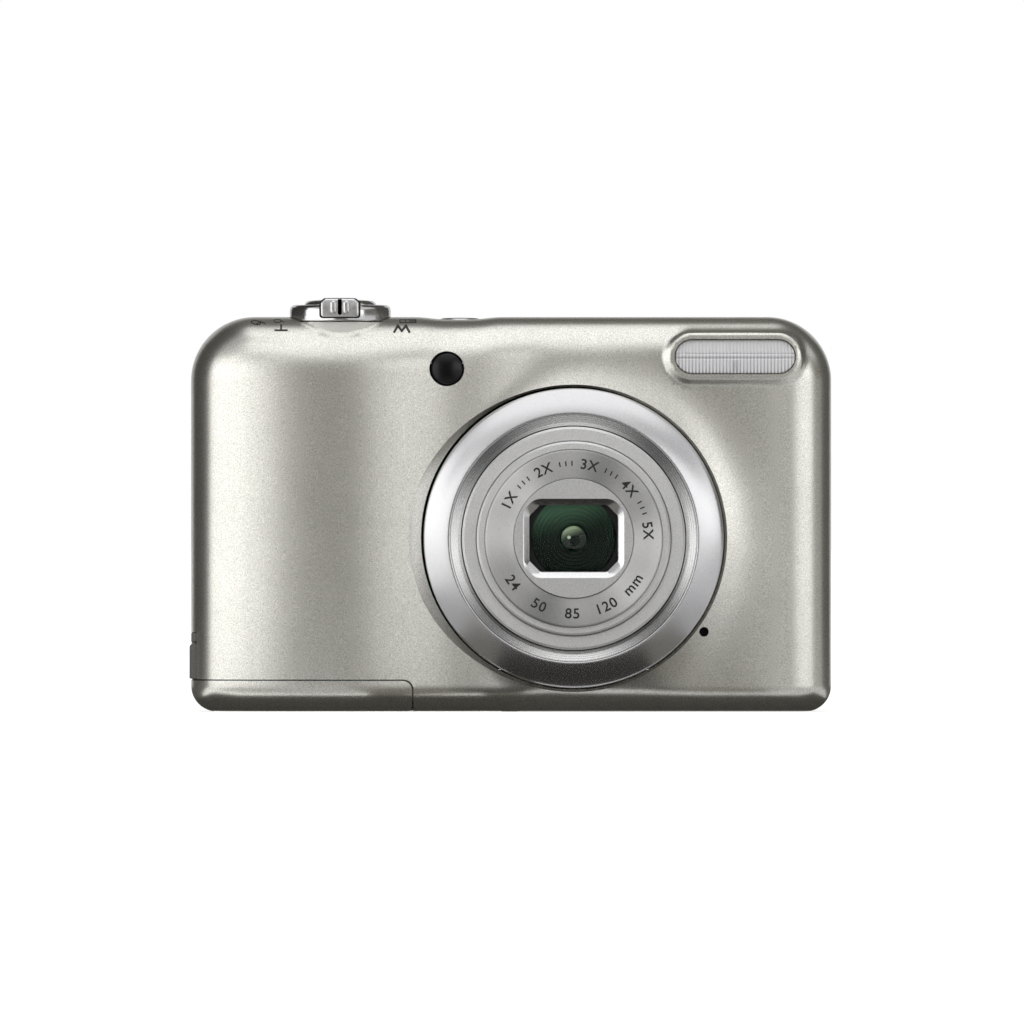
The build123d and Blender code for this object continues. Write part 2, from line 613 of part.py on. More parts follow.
# ---------------------------------------------------------------- flaps
with BuildPart() as dc_cover:
    add(hull(-0.2))
    block((-47.0, 60), (-30, 30), (-5, 70), Mode.SUBTRACT)
    block((-60, 60), (-30, 30), (-5, FLAP_Z[0]), Mode.SUBTRACT)
    block((-60, 60), (-30, 30), (FLAP_Z[1], 70), Mode.SUBTRACT)
    block((-60, 60), (-30, FLAP_Y[0]), (-5, 70), Mode.SUBTRACT)
    block((-60, 60), (FLAP_Y[1], 30), (-5, 70), Mode.SUBTRACT)
    # the upper edge rolls, so the flap can lift
    with BuildSketch(Plane.XZ.offset(-30)):
        with Locations((FLAP_PIVOT_X, FLAP_PIVOT_Z + 1.0)):
            Rectangle(4.0, 2.0)
        with Locations((FLAP_PIVOT_X, FLAP_PIVOT_Z)):
            Circle(0.7, mode=Mode.SUBTRACT)
    extrude(amount=60, mode=Mode.SUBTRACT)
write(dc_cover, "dc_cover")

with BuildPart() as usb_cover:
    block((46.8, 48.2), PORT_Y, PORT_Z)
    with BuildSketch(Plane.XY.offset(0)):
        with Locations((PORT_PIVOT_X, PORT_PIVOT_Y + 1.0)):
            Rectangle(4.0, 2.0)
        with Locations((PORT_PIVOT_X, PORT_PIVOT_Y)):
            Circle(0.7, mode=Mode.SUBTRACT)
    extrude(amount=60, mode=Mode.SUBTRACT)
write(usb_cover, "usb_cover")

with BuildPart() as usb_connector:
    block((38.2, 46.4), (2.8, 7.0), (21.6, 32.4))
    block((40.0, 47.0), (3.5, 6.3), (23.0, 31.0), Mode.SUBTRACT)
    block((39.5, 46.0), (4.5, 5.3), (24.0, 30.0))
write(usb_connector, "usb_connector")

# ---------------------------------------------------------------- controls
with BuildPart() as zoom_lever:
    with BuildSketch(DIAL_PROFILE):
        Polygon(
            (2.6, 56.6), (3.1, 56.6), (3.1, 58.7), (DIAL_RADIUS, 58.7), (DIAL_RADIUS, 60.6),
            (DIAL_RADIUS - 0.6, 61.2), (5.6, 61.2), (5.6, 58.95), (2.6, 58.95),
            align=None,
        )
    revolve(axis=DIAL_AXIS)
    block((DIAL_X - 3.0, DIAL_X + 3.0), (DIAL_Y - 8.9, DIAL_Y - 5.9), (59.4, 62.2))
    fillet(zoom_lever.faces().sort_by(Axis.Y)[0].edges(), 0.7)
write(zoom_lever, "zoom_lever")

with BuildPart() as shutter_button:
    with BuildSketch(DIAL_PROFILE):
        with BuildLine():
            cap = ThreePointArc((0, 62.1), (2.8, 61.98), (SHUTTER_RADIUS - 0.5, 61.6))
            Polyline(
                cap @ 1, (SHUTTER_RADIUS, 61.1), (SHUTTER_RADIUS, 59.95),
                (2.5, 59.95), (2.5, 57.0), (0, 57.0), cap @ 0,
            )
        make_face()
    revolve(axis=DIAL_AXIS)
write(shutter_button, "shutter_button")

with BuildPart() as power_button:
    along_z(POWER_X, POWER_Y, (56.4, 59.3), POWER_RADIUS)
    fillet(power_button.faces().sort_by(Axis.Z)[-1].edges(), 0.35)
    along_z(POWER_X, POWER_Y, (56.4, 57.2), POWER_RADIUS + 0.7)
write(power_button, "power_button")


def rear_key(x, z, radius):
    """A round key that stands through the rear cover, with a flange behind it."""
    with BuildPart() as key:
        along_y(x, z, (11.5, KEY_TOP), radius)
        fillet(key.faces().sort_by(Axis.Y)[-1].edges(), 0.3)
        along_y(x, z, (11.5, 12.1), radius + 0.7)
    return key


for key_name, (key_x, key_z, key_radius) in KEY_PLACES.items():
    write(rear_key(key_x, key_z, key_radius), key_name)
write(rear_key(PAD_X, PAD_Z, OK_RADIUS - 0.8), "ok_button")

with BuildPart() as selector_pivot:
    along_y(PAD_X, PAD_Z, (11.2, 12.1), 5.2)
    along_y(PAD_X, PAD_Z, (10, 13), 3.9, Mode.SUBTRACT)
write(selector_pivot, "selector_pivot")

with BuildPart() as selector_ring:
    along_y(PAD_X, PAD_Z, (12.6, 14.3), PAD_RADIUS)
    along_y(PAD_X, PAD_Z, (10, 20), OK_RADIUS - 0.5, Mode.SUBTRACT)
    fillet(selector_ring.faces().sort_by(Axis.Y)[-1].edges(), 0.4)
write(selector_ring, "selector_ring")

with BuildPart() as signal_lamp:
    along_y(-38.4, 49.4, (11.9, 14.05), 0.95)
write(signal_lamp, "signal_lamp")
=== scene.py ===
"""Looks of a compact digital camera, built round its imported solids.

Sizes in the classes are millimetres in the part's own frame: +Z up, the lens looks along -Y.
"""

import json
import logging
import math
from dataclasses import dataclass
from enum import Enum
from typing import Callable, Iterable, Sequence

import bmesh
import bpy
import numpy as np
from mathutils import Matrix, Vector


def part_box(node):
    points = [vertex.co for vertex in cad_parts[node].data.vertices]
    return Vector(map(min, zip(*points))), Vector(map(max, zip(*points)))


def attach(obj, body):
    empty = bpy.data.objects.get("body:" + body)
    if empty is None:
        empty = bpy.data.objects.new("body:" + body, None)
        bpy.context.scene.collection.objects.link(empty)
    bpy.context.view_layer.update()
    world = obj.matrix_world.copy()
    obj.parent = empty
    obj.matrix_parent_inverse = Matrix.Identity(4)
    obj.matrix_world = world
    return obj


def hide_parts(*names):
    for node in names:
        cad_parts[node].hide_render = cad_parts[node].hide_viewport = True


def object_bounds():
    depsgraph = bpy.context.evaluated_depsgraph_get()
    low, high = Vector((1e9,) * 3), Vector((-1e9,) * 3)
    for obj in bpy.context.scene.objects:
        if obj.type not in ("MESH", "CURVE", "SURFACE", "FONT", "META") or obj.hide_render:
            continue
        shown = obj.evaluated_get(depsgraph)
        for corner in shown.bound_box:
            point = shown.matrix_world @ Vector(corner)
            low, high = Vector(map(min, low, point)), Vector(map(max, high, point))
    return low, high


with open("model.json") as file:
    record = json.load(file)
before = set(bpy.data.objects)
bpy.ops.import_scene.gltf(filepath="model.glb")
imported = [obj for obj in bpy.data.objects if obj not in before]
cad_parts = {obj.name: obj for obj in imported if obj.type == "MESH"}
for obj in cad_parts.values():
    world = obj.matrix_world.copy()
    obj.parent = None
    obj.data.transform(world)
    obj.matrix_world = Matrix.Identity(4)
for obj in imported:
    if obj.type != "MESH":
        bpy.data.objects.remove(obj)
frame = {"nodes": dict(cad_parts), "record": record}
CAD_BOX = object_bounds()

MM = 0.001
Point2 = tuple[float, float]
Point3 = tuple[float, float, float]
Colour = tuple[float, float, float]
Outline = Sequence[Point2]
Socket = bpy.types.NodeSocket
Object = bpy.types.Object
Mesh = bpy.types.Mesh
Material = bpy.types.Material
Finishes = dict[str, Material]
log = logging.getLogger("camera")

CAP_SHARE = 0.70  # a capital's height as a share of the letters' size
NEARLY_STRAIGHT = 86.0  # half the angle, in degrees, of a corner too flat to round

# Places that several pieces share, in millimetres: x and z on the front and back, x and y on top.
LENS = (9.4, 26.1)
TIMER_LAMP = (-9.64, 51.57)
POWER_KEY = (-7.7, 1.8)
SCREEN = (14.6, 29.4)
SELECTOR = (-32.4, 24.6)
MOVIE_KEY = (-22.6, 49.4)
MODE_KEY = (-24.6, 38.2)
PLAYBACK_KEY = (-40.2, 38.2)
MENU_KEY = (-24.6, 10.8)
DELETE_KEY = (-40.2, 10.8)
SIGNAL_LAMP = (-38.4, 49.4)


class Facing(Enum):
    """The axis that a flat piece's thickness lies along."""

    SIDE = "x"
    FRONT = "y"
    UP = "z"


class Cut(Enum):
    """What a carving leaves of a piece."""

    OUTSIDE = "DIFFERENCE"
    INSIDE = "INTERSECT"


# ---- shader wiring
class Graph:
    """The node tree of a material or a world, emptied and given an output."""

    def __init__(self, owner: Material | bpy.types.World, output: str) -> None:
        """Empties the tree.

        Args:
            owner: What the tree belongs to.
            output: The Blender type of its output node.
        """
        owner.use_nodes = True
        self.tree = owner.node_tree
        self.tree.nodes.clear()
        self.out = self.node(output)

    def link(self, source: Socket, target: Socket) -> None:
        """Joins two sockets."""
        self.tree.links.new(source, target)

    def node(
        self, kind: str, *values: Socket | float | Sequence[float], **fields: object
    ) -> bpy.types.Node:
        """Adds a node.

        Args:
            kind: The node's Blender type.
            values: What its inputs get, in order: sockets are linked, the rest is set.
            fields: Properties set on it.

        Returns:
            The new node.
        """
        made = self.tree.nodes.new(kind)
        for key, value in fields.items():
            setattr(made, key, value)
        for index, value in enumerate(values):
            if isinstance(value, Socket):
                self.link(value, made.inputs[index])
            else:
                made.inputs[index].default_value = value
        return made

    def math(self, operation: str, *values: Socket | float) -> Socket:
        """Adds a math node and returns its output."""
        return self.node("ShaderNodeMath", *values, operation=operation).outputs[0]

    def spread(self, factor: Socket, source: Point2, target: Point2) -> Socket:
        """Maps one range of a field to another and returns the mapped socket."""
        return self.node("ShaderNodeMapRange", factor, *source, *target).outputs[0]

    def seen_directly(self) -> Socket:
        """Finds camera, mirror and glass rays, which see the pale backdrop.

        Returns:
            A socket that is 1 for them and 0 for the rest.
        """
        path = self.node("ShaderNodeLightPath").outputs
        both = self.math("MAXIMUM", path["Is Camera Ray"], path["Is Glossy Ray"])
        return self.math("MAXIMUM", both, path["Is Transmission Ray"])

    def finish(self, source: bpy.types.Node) -> None:
        """Feeds the output from a node."""
        self.link(source.outputs[0], self.out.inputs[0])


class Wiring(Graph):
    """A material's nodes round one principled shader."""

    def __init__(self, name: str) -> None:
        """Starts the material.

        Args:
            name: The material's name.
        """
        self.material = bpy.data.materials.new(name)
        super().__init__(self.material, "ShaderNodeOutputMaterial")
        self.shader = self.node("ShaderNodeBsdfPrincipled")
        self.finish(self.shader)
        self.place = self.node("ShaderNodeTexCoord").outputs["Object"]

    def settings(self, **values: float | Sequence[float]) -> None:
        """Sets sockets of the shader, named with underscores for spaces."""
        for key, value in values.items():
            self.shader.inputs[key.replace("_", " ")].default_value = value

    def noise(self, size_mm: float, detail: float = 2.0) -> Socket:
        """A noise field whose features are about size_mm across.

        Args:
            size_mm: Feature size in millimetres.
            detail: Octaves.

        Returns:
            The noise value's socket.
        """
        made = self.node("ShaderNodeTexNoise")
        made.inputs["Scale"].default_value = 1.0 / (size_mm * MM)
        made.inputs["Detail"].default_value = detail
        self.link(self.place, made.inputs["Vector"])
        return made.outputs["Fac"]

    def colour(self, factor: Socket, stops: Sequence[tuple[float, Colour]]) -> None:
        """Colours the shader by a ramp.

        Args:
            factor: What drives the ramp.
            stops: Its positions and colours.
        """
        made = self.node("ShaderNodeValToRGB")
        elements = made.color_ramp.elements
        while len(elements) < len(stops):
            elements.new(0.5)
        for element, (position, colour) in zip(elements, stops):
            element.position = position
            element.color = (*colour, 1.0)
        self.link(factor, made.inputs["Fac"])
        self.link(made.outputs["Color"], self.shader.inputs["Base Color"])

    def roughness(self, factor: Socket, low: float, high: float) -> None:
        """Varies the shader's roughness from low to high, over the middle half of a field."""
        self.link(self.spread(factor, (0.25, 0.75), (low, high)), self.shader.inputs["Roughness"])

    def parts(self) -> bpy.types.NodeOutputs:
        """The place's x, y and z, in metres."""
        return self.node("ShaderNodeSeparateXYZ", self.place).outputs

    def bump(self, height: Socket, depth_mm: float, strength: float = 1.0) -> None:
        """Adds relief to the shader.

        Args:
            height: The height field, 0 to 1.
            depth_mm: Depth of a full step.
            strength: How much of it shows.
        """
        made = self.node("ShaderNodeBump")
        made.inputs["Strength"].default_value = strength
        made.inputs["Distance"].default_value = depth_mm * MM
        self.link(height, made.inputs["Height"])
        self.link(made.outputs["Normal"], self.shader.inputs["Normal"])

    def polar(self, x_mm: float, z_mm: float) -> tuple[Socket, Socket]:
        """Distance in millimetres from a line along Y, and the angle round it.

        Args:
            x_mm: The line's x.
            z_mm: The line's z.

        Returns:
            The distance's socket and the angle's.
        """
        place = self.parts()
        dx = self.math("SUBTRACT", place["X"], x_mm * MM)
        dz = self.math("SUBTRACT", place["Z"], z_mm * MM)
        square = self.math("ADD", self.math("MULTIPLY", dx, dx), self.math("MULTIPLY", dz, dz))
        return self.math("MULTIPLY", self.math("SQRT", square), 1.0 / MM), self.math("ARCTAN2", dz, dx)

    def wave(self, field: Socket, rate: float, shift: float = 0.0) -> Socket:
        """A cosine of a field, between 0 and 1, with a rate and a shift in radians."""
        angle = self.math("MULTIPLY_ADD", field, rate, shift)
        return self.math("MULTIPLY_ADD", self.math("COSINE", angle), 0.5, 0.5)


# ---- finishes
@dataclass(frozen=True)
class MetallicPaint:
    """Satin silver paint with fine flake."""

    name: str
    light: Colour
    dark: Colour
    metallic: float = 0.96
    roughness: float = 0.30
    roughness_spread: float = 0.02
    flake_mm: float = 0.13
    cloud_mm: float = 6.0
    flake_share: float = 0.9
    ends: Point2 = (0.33, 0.67)
    coat: float = 0.12
    coat_roughness: float = 0.25
    relief_mm: float = 0.009
    relief_strength: float = 0.35

    def build(self) -> Material:
        """Makes the material.

        Returns:
            The material.
        """
        w = Wiring(self.name)
        flake = w.noise(self.flake_mm, 1.0)
        cloud = w.noise(self.cloud_mm, 2.0)
        fine = w.math("MULTIPLY", flake, self.flake_share)
        coarse = w.math("MULTIPLY", cloud, 1 - self.flake_share)
        w.colour(w.math("ADD", fine, coarse), list(zip(self.ends, (self.dark, self.light))))
        w.roughness(flake, self.roughness + self.roughness_spread, self.roughness - self.roughness_spread)
        w.settings(Metallic=self.metallic, Coat_Weight=self.coat, Coat_Roughness=self.coat_roughness)
        w.bump(flake, self.relief_mm, self.relief_strength)
        return w.material


@dataclass(frozen=True)
class PolishedMetal:
    """Plated or polished metal with a faint haze."""

    name: str
    colour: Colour
    roughness: float
    haze: float = 0.15
    haze_mm: float = 0.9

    def build(self) -> Material:
        """Makes the material.

        Returns:
            The material.
        """
        w = Wiring(self.name)
        haze = w.noise(self.haze_mm, 3.0)
        tint = tuple(c * 0.96 for c in self.colour)
        w.colour(haze, [(0.3, tint), (0.7, self.colour)])
        low, high = self.roughness * (1 - self.haze), self.roughness * (1 + self.haze)
        w.roughness(haze, low, high)
        w.settings(Metallic=1.0)
        return w.material


@dataclass(frozen=True)
class TurnedMetal:
    """Metal with the lines of a lathe tool, and painted light and dark wedges round the lens axis: its
    colour changes with the angle, standing in for the reflections that the turned lines give.
    """

    name: str
    centre: Point2
    light: Colour
    dark: Colour
    painted_sheen_sectors: int
    turn_deg: float = 0.0
    metallic: float = 1.0
    roughness: float = 0.28
    anisotropy: float = 0.7
    pitch_mm: float = 0.22
    line_depth_mm: float = 0.006
    painted_glint_share: float = 0.0
    fine_mm: float = 0.14
    painted_glints: float = 8.0
    shares: Point3 = (0.10, 0.16, 0.78)

    def build(self) -> Material:
        """Makes the material.

        Returns:
            The material.
        """
        w = Wiring(self.name)
        radius, angle = w.polar(*self.centre)
        lines = w.wave(radius, 2 * math.pi / self.pitch_mm)
        fine = w.noise(self.fine_mm, 1.0)
        # Painted reflection: the base colour gets lighter and darker with the angle round the axis, in
        # broad wedges and in narrow highlights.
        painted_sheen = w.wave(angle, self.painted_sheen_sectors, -math.radians(self.turn_deg) * self.painted_sheen_sectors)
        painted_glint = w.wave(angle, self.painted_glints)
        line_share, fine_share, painted_sheen_share = self.shares
        painted_sheen = w.math("MULTIPLY", painted_sheen, painted_sheen_share - self.painted_glint_share)
        painted_sheen = w.math("MULTIPLY_ADD", painted_glint, self.painted_glint_share, painted_sheen)
        both = w.math("ADD", w.math("MULTIPLY", lines, line_share), w.math("MULTIPLY", fine, fine_share))
        w.colour(w.math("ADD", both, painted_sheen), [(0.08, self.dark), (0.88, self.light)])
        w.roughness(fine, self.roughness - 0.03, self.roughness + 0.03)
        w.settings(Metallic=self.metallic, Anisotropic=self.anisotropy)
        tangent = w.node("ShaderNodeTangent", direction_type="RADIAL", axis="Y")
        w.link(tangent.outputs[0], w.shader.inputs["Tangent"])
        w.bump(lines, self.line_depth_mm, 0.6)
        return w.material


@dataclass(frozen=True)
class Plastic:
    """Moulded or painted plastic with a fine texture."""

    name: str
    colour: Colour
    roughness: float = 0.5
    metallic: float = 0.0
    grain_mm: float = 0.2
    relief_mm: float = 0.0
    contrast: float = 0.2
    specular: float = 0.5

    def build(self) -> Material:
        """Makes the material.

        Returns:
            The material.
        """
        w = Wiring(self.name)
        grain = w.noise(self.grain_mm, 2.0)
        low = tuple(c * (1 - self.contrast) for c in self.colour)
        high = tuple(min(1.0, c * (1 + self.contrast)) for c in self.colour)
        w.colour(grain, [(0.3, low), (0.7, high)])
        w.roughness(grain, self.roughness - 0.05, self.roughness + 0.05)
        w.settings(Metallic=self.metallic, Specular_IOR_Level=self.specular)
        w.bump(grain, self.relief_mm, 0.4)
        return w.material


@dataclass(frozen=True)
class CoatedGlass:
    """Glass whose coating gives tinted reflections."""

    name: str
    colour: Colour
    tint: Colour
    roughness: float
    index: float
    clear: float = 1.0
    haze_mm: float = 3.0
    shade: float = 0.97

    def build(self) -> Material:
        """Makes the material.

        Returns:
            The material.
        """
        w = Wiring(self.name)
        haze = w.noise(self.haze_mm, 2.0)
        low = tuple(c * self.shade for c in self.colour)
        w.colour(haze, [(0.3, low), (0.7, self.colour)])
        w.roughness(haze, self.roughness, self.roughness + 0.02)
        w.settings(Transmission_Weight=self.clear, IOR=self.index, Specular_Tint=(*self.tint, 1.0))
        return w.material


@dataclass(frozen=True)
class Milky:
    """Clear ribbed plastic over a bright reflector, with painted shade in the hollows between its ribs,
    deeper towards the bottom.
    """

    name: str
    ridge: Colour
    painted_valley_shade: Colour
    centre: Point2
    pitch_mm: float
    height_mm: float
    painted_shade_shares: Point2 = (0.04, 1.0)
    roughness: Point2 = (0.30, 0.38)
    index: float = 1.49
    metallic: float = 0.30

    def build(self) -> Material:
        """Makes the material.

        Returns:
            The material.
        """
        w = Wiring(self.name)
        haze = w.noise(0.5, 2.0)
        place = w.parts()
        rate = 2 * math.pi / (self.pitch_mm * MM)
        ribs = w.wave(place["X"], rate, -rate * self.centre[0] * MM)
        # Painted shade: the hollows between the ribs get darker, a little at the top and fully at the
        # bottom.
        ends = (self.centre[1] + self.height_mm / 2) * MM, (self.centre[1] - self.height_mm / 2) * MM
        low = w.spread(place["Z"], ends, self.painted_shade_shares)
        painted_valley_shade = w.math("MULTIPLY", w.math("SUBTRACT", 1.0, ribs), low)
        level = w.math("SUBTRACT", w.math("MULTIPLY_ADD", haze, 0.12, 0.92), painted_valley_shade)
        w.colour(level, [(0.0, self.painted_valley_shade), (0.95, self.ridge)])
        w.roughness(haze, *self.roughness)
        w.settings(IOR=self.index, Metallic=self.metallic)
        return w.material


@dataclass(frozen=True)
class DepthWithPaintedReflection:
    """The dark inside of the lens, with rings in its colour and a painted green reflection that grows
    brighter towards the top left.
    """

    name: str
    centre: Point2
    # The fields below set a painted green reflection: its brightest colour, how far it spreads from the
    # centre, and how much it leans towards the left.
    glow: Colour
    painted_reflection_reach_mm: float
    pitch_mm: float
    lean: float = 0.22
    rings: float = 0.10
    roughness: float = 0.48
    specular: float = 0.12
    shares: Outline = ((0.02, 0.015), (0.30, 0.06), (0.62, 0.35), (0.98, 1.0))

    def build(self) -> Material:
        """Makes the material.

        Returns:
            The material.
        """
        w = Wiring(self.name)
        place = w.parts()
        scale = 1 / (self.painted_reflection_reach_mm * MM)
        # Painted reflection: the colour grows from black to green upwards and towards the left, with rings
        # laid over it.
        rise = w.math("MULTIPLY_ADD", place["Z"], scale, -self.centre[1] * MM * scale)
        slope = self.lean * scale
        lean = w.math("MULTIPLY_ADD", place["X"], -slope, slope * self.centre[0] * MM)
        radius, _ = w.polar(*self.centre)
        rings = w.wave(radius, 2 * math.pi / self.pitch_mm)
        level = w.math("MULTIPLY_ADD", rings, self.rings, w.math("ADD", rise, lean))
        w.colour(level, [(at, tuple(c * share for c in self.glow)) for at, share in self.shares])
        w.roughness(rings, self.roughness - 0.06, self.roughness + 0.06)
        w.settings(Specular_IOR_Level=self.specular)
        return w.material


# ---- mesh tools
def placed(name: str, data: bpy.types.ID) -> Object:
    """Puts a new object into the scene.

    Args:
        name: Its name.
        data: Its mesh, curve, light or camera data.

    Returns:
        The object.
    """
    obj = bpy.data.objects.new(name, data)
    bpy.context.scene.collection.objects.link(obj)
    return obj


def crisp(mesh: Mesh, degrees: float = 35.0) -> None:
    """Shades a mesh smooth and keeps edges sharper than some degrees hard."""
    mesh.shade_smooth()
    mesh.set_sharp_from_angle(angle=math.radians(degrees))


def weld(mesh: Mesh, reach: float, thin: bool = False) -> None:
    """Joins a mesh's doubled vertices and turns its faces outwards.

    Args:
        mesh: The mesh.
        reach: How close doubled vertices lie, in metres.
        thin: Whether faces that have shrunk to nothing go too, such as those at an axis.
    """
    bm = bmesh.new()
    bm.from_mesh(mesh)
    bmesh.ops.remove_doubles(bm, verts=bm.verts, dist=reach)
    if thin:
        bmesh.ops.dissolve_degenerate(bm, edges=bm.edges, dist=1e-8)
    bmesh.ops.recalc_face_normals(bm, faces=bm.faces)
    bm.to_mesh(mesh)
    bm.free()


def piece(
    name: str,
    points: np.ndarray | Sequence[Point3],
    faces: Iterable[Sequence[int]],
    sharp_deg: float = 35.0,
) -> Object:
    """Makes an object from points in millimetres.

    Args:
        name: The piece's name.
        points: Its vertices.
        faces: Its faces.
        sharp_deg: Edges sharper than this stay hard.

    Returns:
        The object.
    """
    mesh = bpy.data.meshes.new(name)
    metres = (np.asarray(points, float) * MM).tolist()
    mesh.from_pydata(metres, [], [tuple(int(i) for i in face) for face in faces])
    weld(mesh, 1e-7)
    crisp(mesh, sharp_deg)
    return placed(name, mesh)


def softened(outline: Outline, radius: float, steps: int) -> list[Point2]:
    """Rounds the corners of a loop.

    Args:
        outline: Corner points.
        radius: Rounding radius, less where a side is short.
        steps: Segments in each corner.

    Returns:
        The rounded outline.
    """
    pts = [np.array(p, float) for p in outline]
    count = len(pts)
    result: list[Point2] = []
    for i, here in enumerate(pts):
        before, after = pts[i - 1] - here, pts[(i + 1) % count] - here
        la, lb = np.linalg.norm(before), np.linalg.norm(after)
        ua, ub = before / la, after / lb
        half = math.acos(float(np.clip(ua @ ub, -1, 1))) / 2
        if half > math.radians(NEARLY_STRAIGHT):
            result.append(tuple(here))
            continue
        reach = min(radius / math.tan(half), 0.45 * la, 0.45 * lb)
        start, end = here + ua * reach, here + ub * reach
        for k in range(steps + 1):
            t = k / steps
            result.append(tuple((1 - t) ** 2 * start + 2 * t * (1 - t) * here + t**2 * end))
    return result


def lathe(
    name: str,
    centre: Point2,
    profile: Outline | Callable[[float], Outline],
    segments: int = 180,
) -> Object:
    """Turns a profile of (radius, y) points round a line along Y.

    Args:
        name: The piece's name.
        centre: The line's x and z.
        profile: The profile in order, or a function that gives it for each angle. It is a loop, unless it
            starts on the axis and ends there.
        segments: Steps round the circle.

    Returns:
        The object.
    """
    turn = np.linspace(0, 2 * math.pi, segments, endpoint=False)
    rows = np.array([profile(t) if callable(profile) else profile for t in turn], float)
    n = rows.shape[1]
    r, y = rows[..., 0], rows[..., 1]
    across, up = np.cos(turn)[:, None] * r, np.sin(turn)[:, None] * r
    points = np.stack([centre[0] + across, y, centre[1] + up], axis=-1).reshape(-1, 3)
    faces = []
    for i in range(segments):
        j = (i + 1) % segments
        for k in range(n if r[0, 0] > 0 else n - 1):
            m = (k + 1) % n
            faces.append((i * n + k, i * n + m, j * n + m, j * n + k))
    made = piece(name, points, faces)
    weld(made.data, 2e-7, thin=True)
    return made


def lathe_up(name: str, centre: Point2, profile: Outline, segments: int = 128) -> Object:
    """Turns a profile of (radius, z) points round an upright line.

    Args:
        name: The piece's name.
        centre: The line's x and y.
        profile: The profile, in order.
        segments: Steps round the circle.

    Returns:
        The object.
    """
    obj = lathe(name, (0.0, 0.0), profile, segments)
    x, y = centre[0] * MM, centre[1] * MM
    obj.data.transform(Matrix(((1, 0, 0, x), (0, 0, -1, y), (0, 1, 0, 0), (0, 0, 0, 1))))
    return obj


def stack(
    name: str, rings: Sequence[Sequence[Point3]], sharp_deg: float = 35.0, frame_like: bool = False
) -> Object:
    """Skins a closed body over rings of equal length.

    Args:
        name: The piece's name.
        rings: The rings, in order.
        sharp_deg: Edges sharper than this stay hard.
        frame_like: Whether the last ring meets the first, as in a frame; if not, both ends are capped.

    Returns:
        The object.
    """
    n = len(rings[0])
    points = [p for ring in rings for p in ring]
    faces: list[Sequence[int]] = []
    for i in range(len(rings) if frame_like else len(rings) - 1):
        j = (i + 1) % len(rings)
        for k in range(n):
            m = (k + 1) % n
            faces.append((i * n + k, i * n + m, j * n + m, j * n + k))
    if not frame_like:
        faces.append(tuple(range(n)))
        faces.append(tuple(range(len(points) - 1, len(points) - n - 1, -1)))
    return piece(name, points, faces, sharp_deg)


def inset(outline: Outline, amount: float) -> list[Point2]:
    """Moves an outline inwards by an even amount.

    Args:
        outline: A loop of points.
        amount: How far, in millimetres.

    Returns:
        The new loop.
    """
    pts = np.array(outline, float)
    ahead, behind = np.roll(pts, -1, 0) - pts, pts - np.roll(pts, 1, 0)
    ahead /= np.linalg.norm(ahead, axis=1, keepdims=True) + 1e-12
    behind /= np.linalg.norm(behind, axis=1, keepdims=True) + 1e-12
    normal = np.stack([-(ahead + behind)[:, 1], (ahead + behind)[:, 0]], axis=1)
    normal /= np.linalg.norm(normal, axis=1, keepdims=True) + 1e-12
    area = 0.5 * np.sum(pts[:, 0] * np.roll(pts[:, 1], -1) - np.roll(pts[:, 0], -1) * pts[:, 1])
    if area < 0:
        normal = -normal
    return [tuple(p) for p in pts + normal * amount]


def tablet(
    name: str,
    outline: Outline,
    low: float,
    high: float,
    edge: float,
    facing: Facing = Facing.FRONT,
    both: bool = False,
) -> Object:
    """A plate or button of any outline with a rounded rim.

    Args:
        name: The piece's name.
        outline: The loop, as the two axes that the thickness doesn't lie along.
        low: The end behind.
        high: The end that shows, with the rounded rim.
        edge: The rim's radius.
        facing: The axis of its thickness.
        both: Whether the far rim is rounded too.

    Returns:
        The object.
    """
    sign = 1.0 if high > low else -1.0
    turns = np.linspace(0, math.pi / 2, 5)
    levels = [(0.0, low)]
    if both:
        levels = [(edge * (1 - math.sin(t)), low + sign * edge * (1 - math.cos(t))) for t in turns]
    levels += [(edge * (1 - math.cos(t)), high - sign * edge * (1 - math.sin(t))) for t in turns]
    rings = []
    for amount, level in levels:
        loop = inset(outline, amount) if amount > 1e-9 else list(outline)
        if facing is Facing.UP:
            rings.append([(a, b, level) for a, b in loop])
        elif facing is Facing.SIDE:
            rings.append([(level, a, b) for a, b in loop])
        else:
            rings.append([(a, level, b) for a, b in loop])
    return stack(name, rings)


def rectangle(
    centre: Point2, width: float, height: float, radius: float = 0.0, steps: int = 6
) -> list[Point2]:
    """A rectangle's outline with rounded corners.

    Args:
        centre: Its middle.
        width: Its width.
        height: Its height.
        radius: The corners' radius.
        steps: Segments in each corner.

    Returns:
        The loop.
    """
    w, h = width / 2, height / 2
    corners = [(-w, -h), (w, -h), (w, h), (-w, h)]
    loop = softened(corners, radius, steps) if radius else corners
    return [(centre[0] + a, centre[1] + b) for a, b in loop]


def stadium(centre: Point2, length: float, height: float, steps: int = 20) -> list[Point2]:
    """A round-ended bar's outline.

    Args:
        centre: Its middle.
        length: Its whole length.
        height: Its height.
        steps: Points in each end.

    Returns:
        The loop.
    """
    r, half = height / 2, (length - height) / 2
    loop: list[Point2] = []
    for side, start in ((1, -math.pi / 2), (-1, math.pi / 2)):
        x = centre[0] + side * half
        turns = np.linspace(start, start + math.pi, steps)
        loop += [(x + r * math.cos(t), centre[1] + r * math.sin(t)) for t in turns]
    return loop


def stadium_up(centre: Point2, height: float, width: float, steps: int = 20) -> list[Point2]:
    """A round-ended upright bar's outline."""
    x, y = centre
    return [(x + v - y, y - u + x) for u, v in stadium(centre, height, width, steps)]


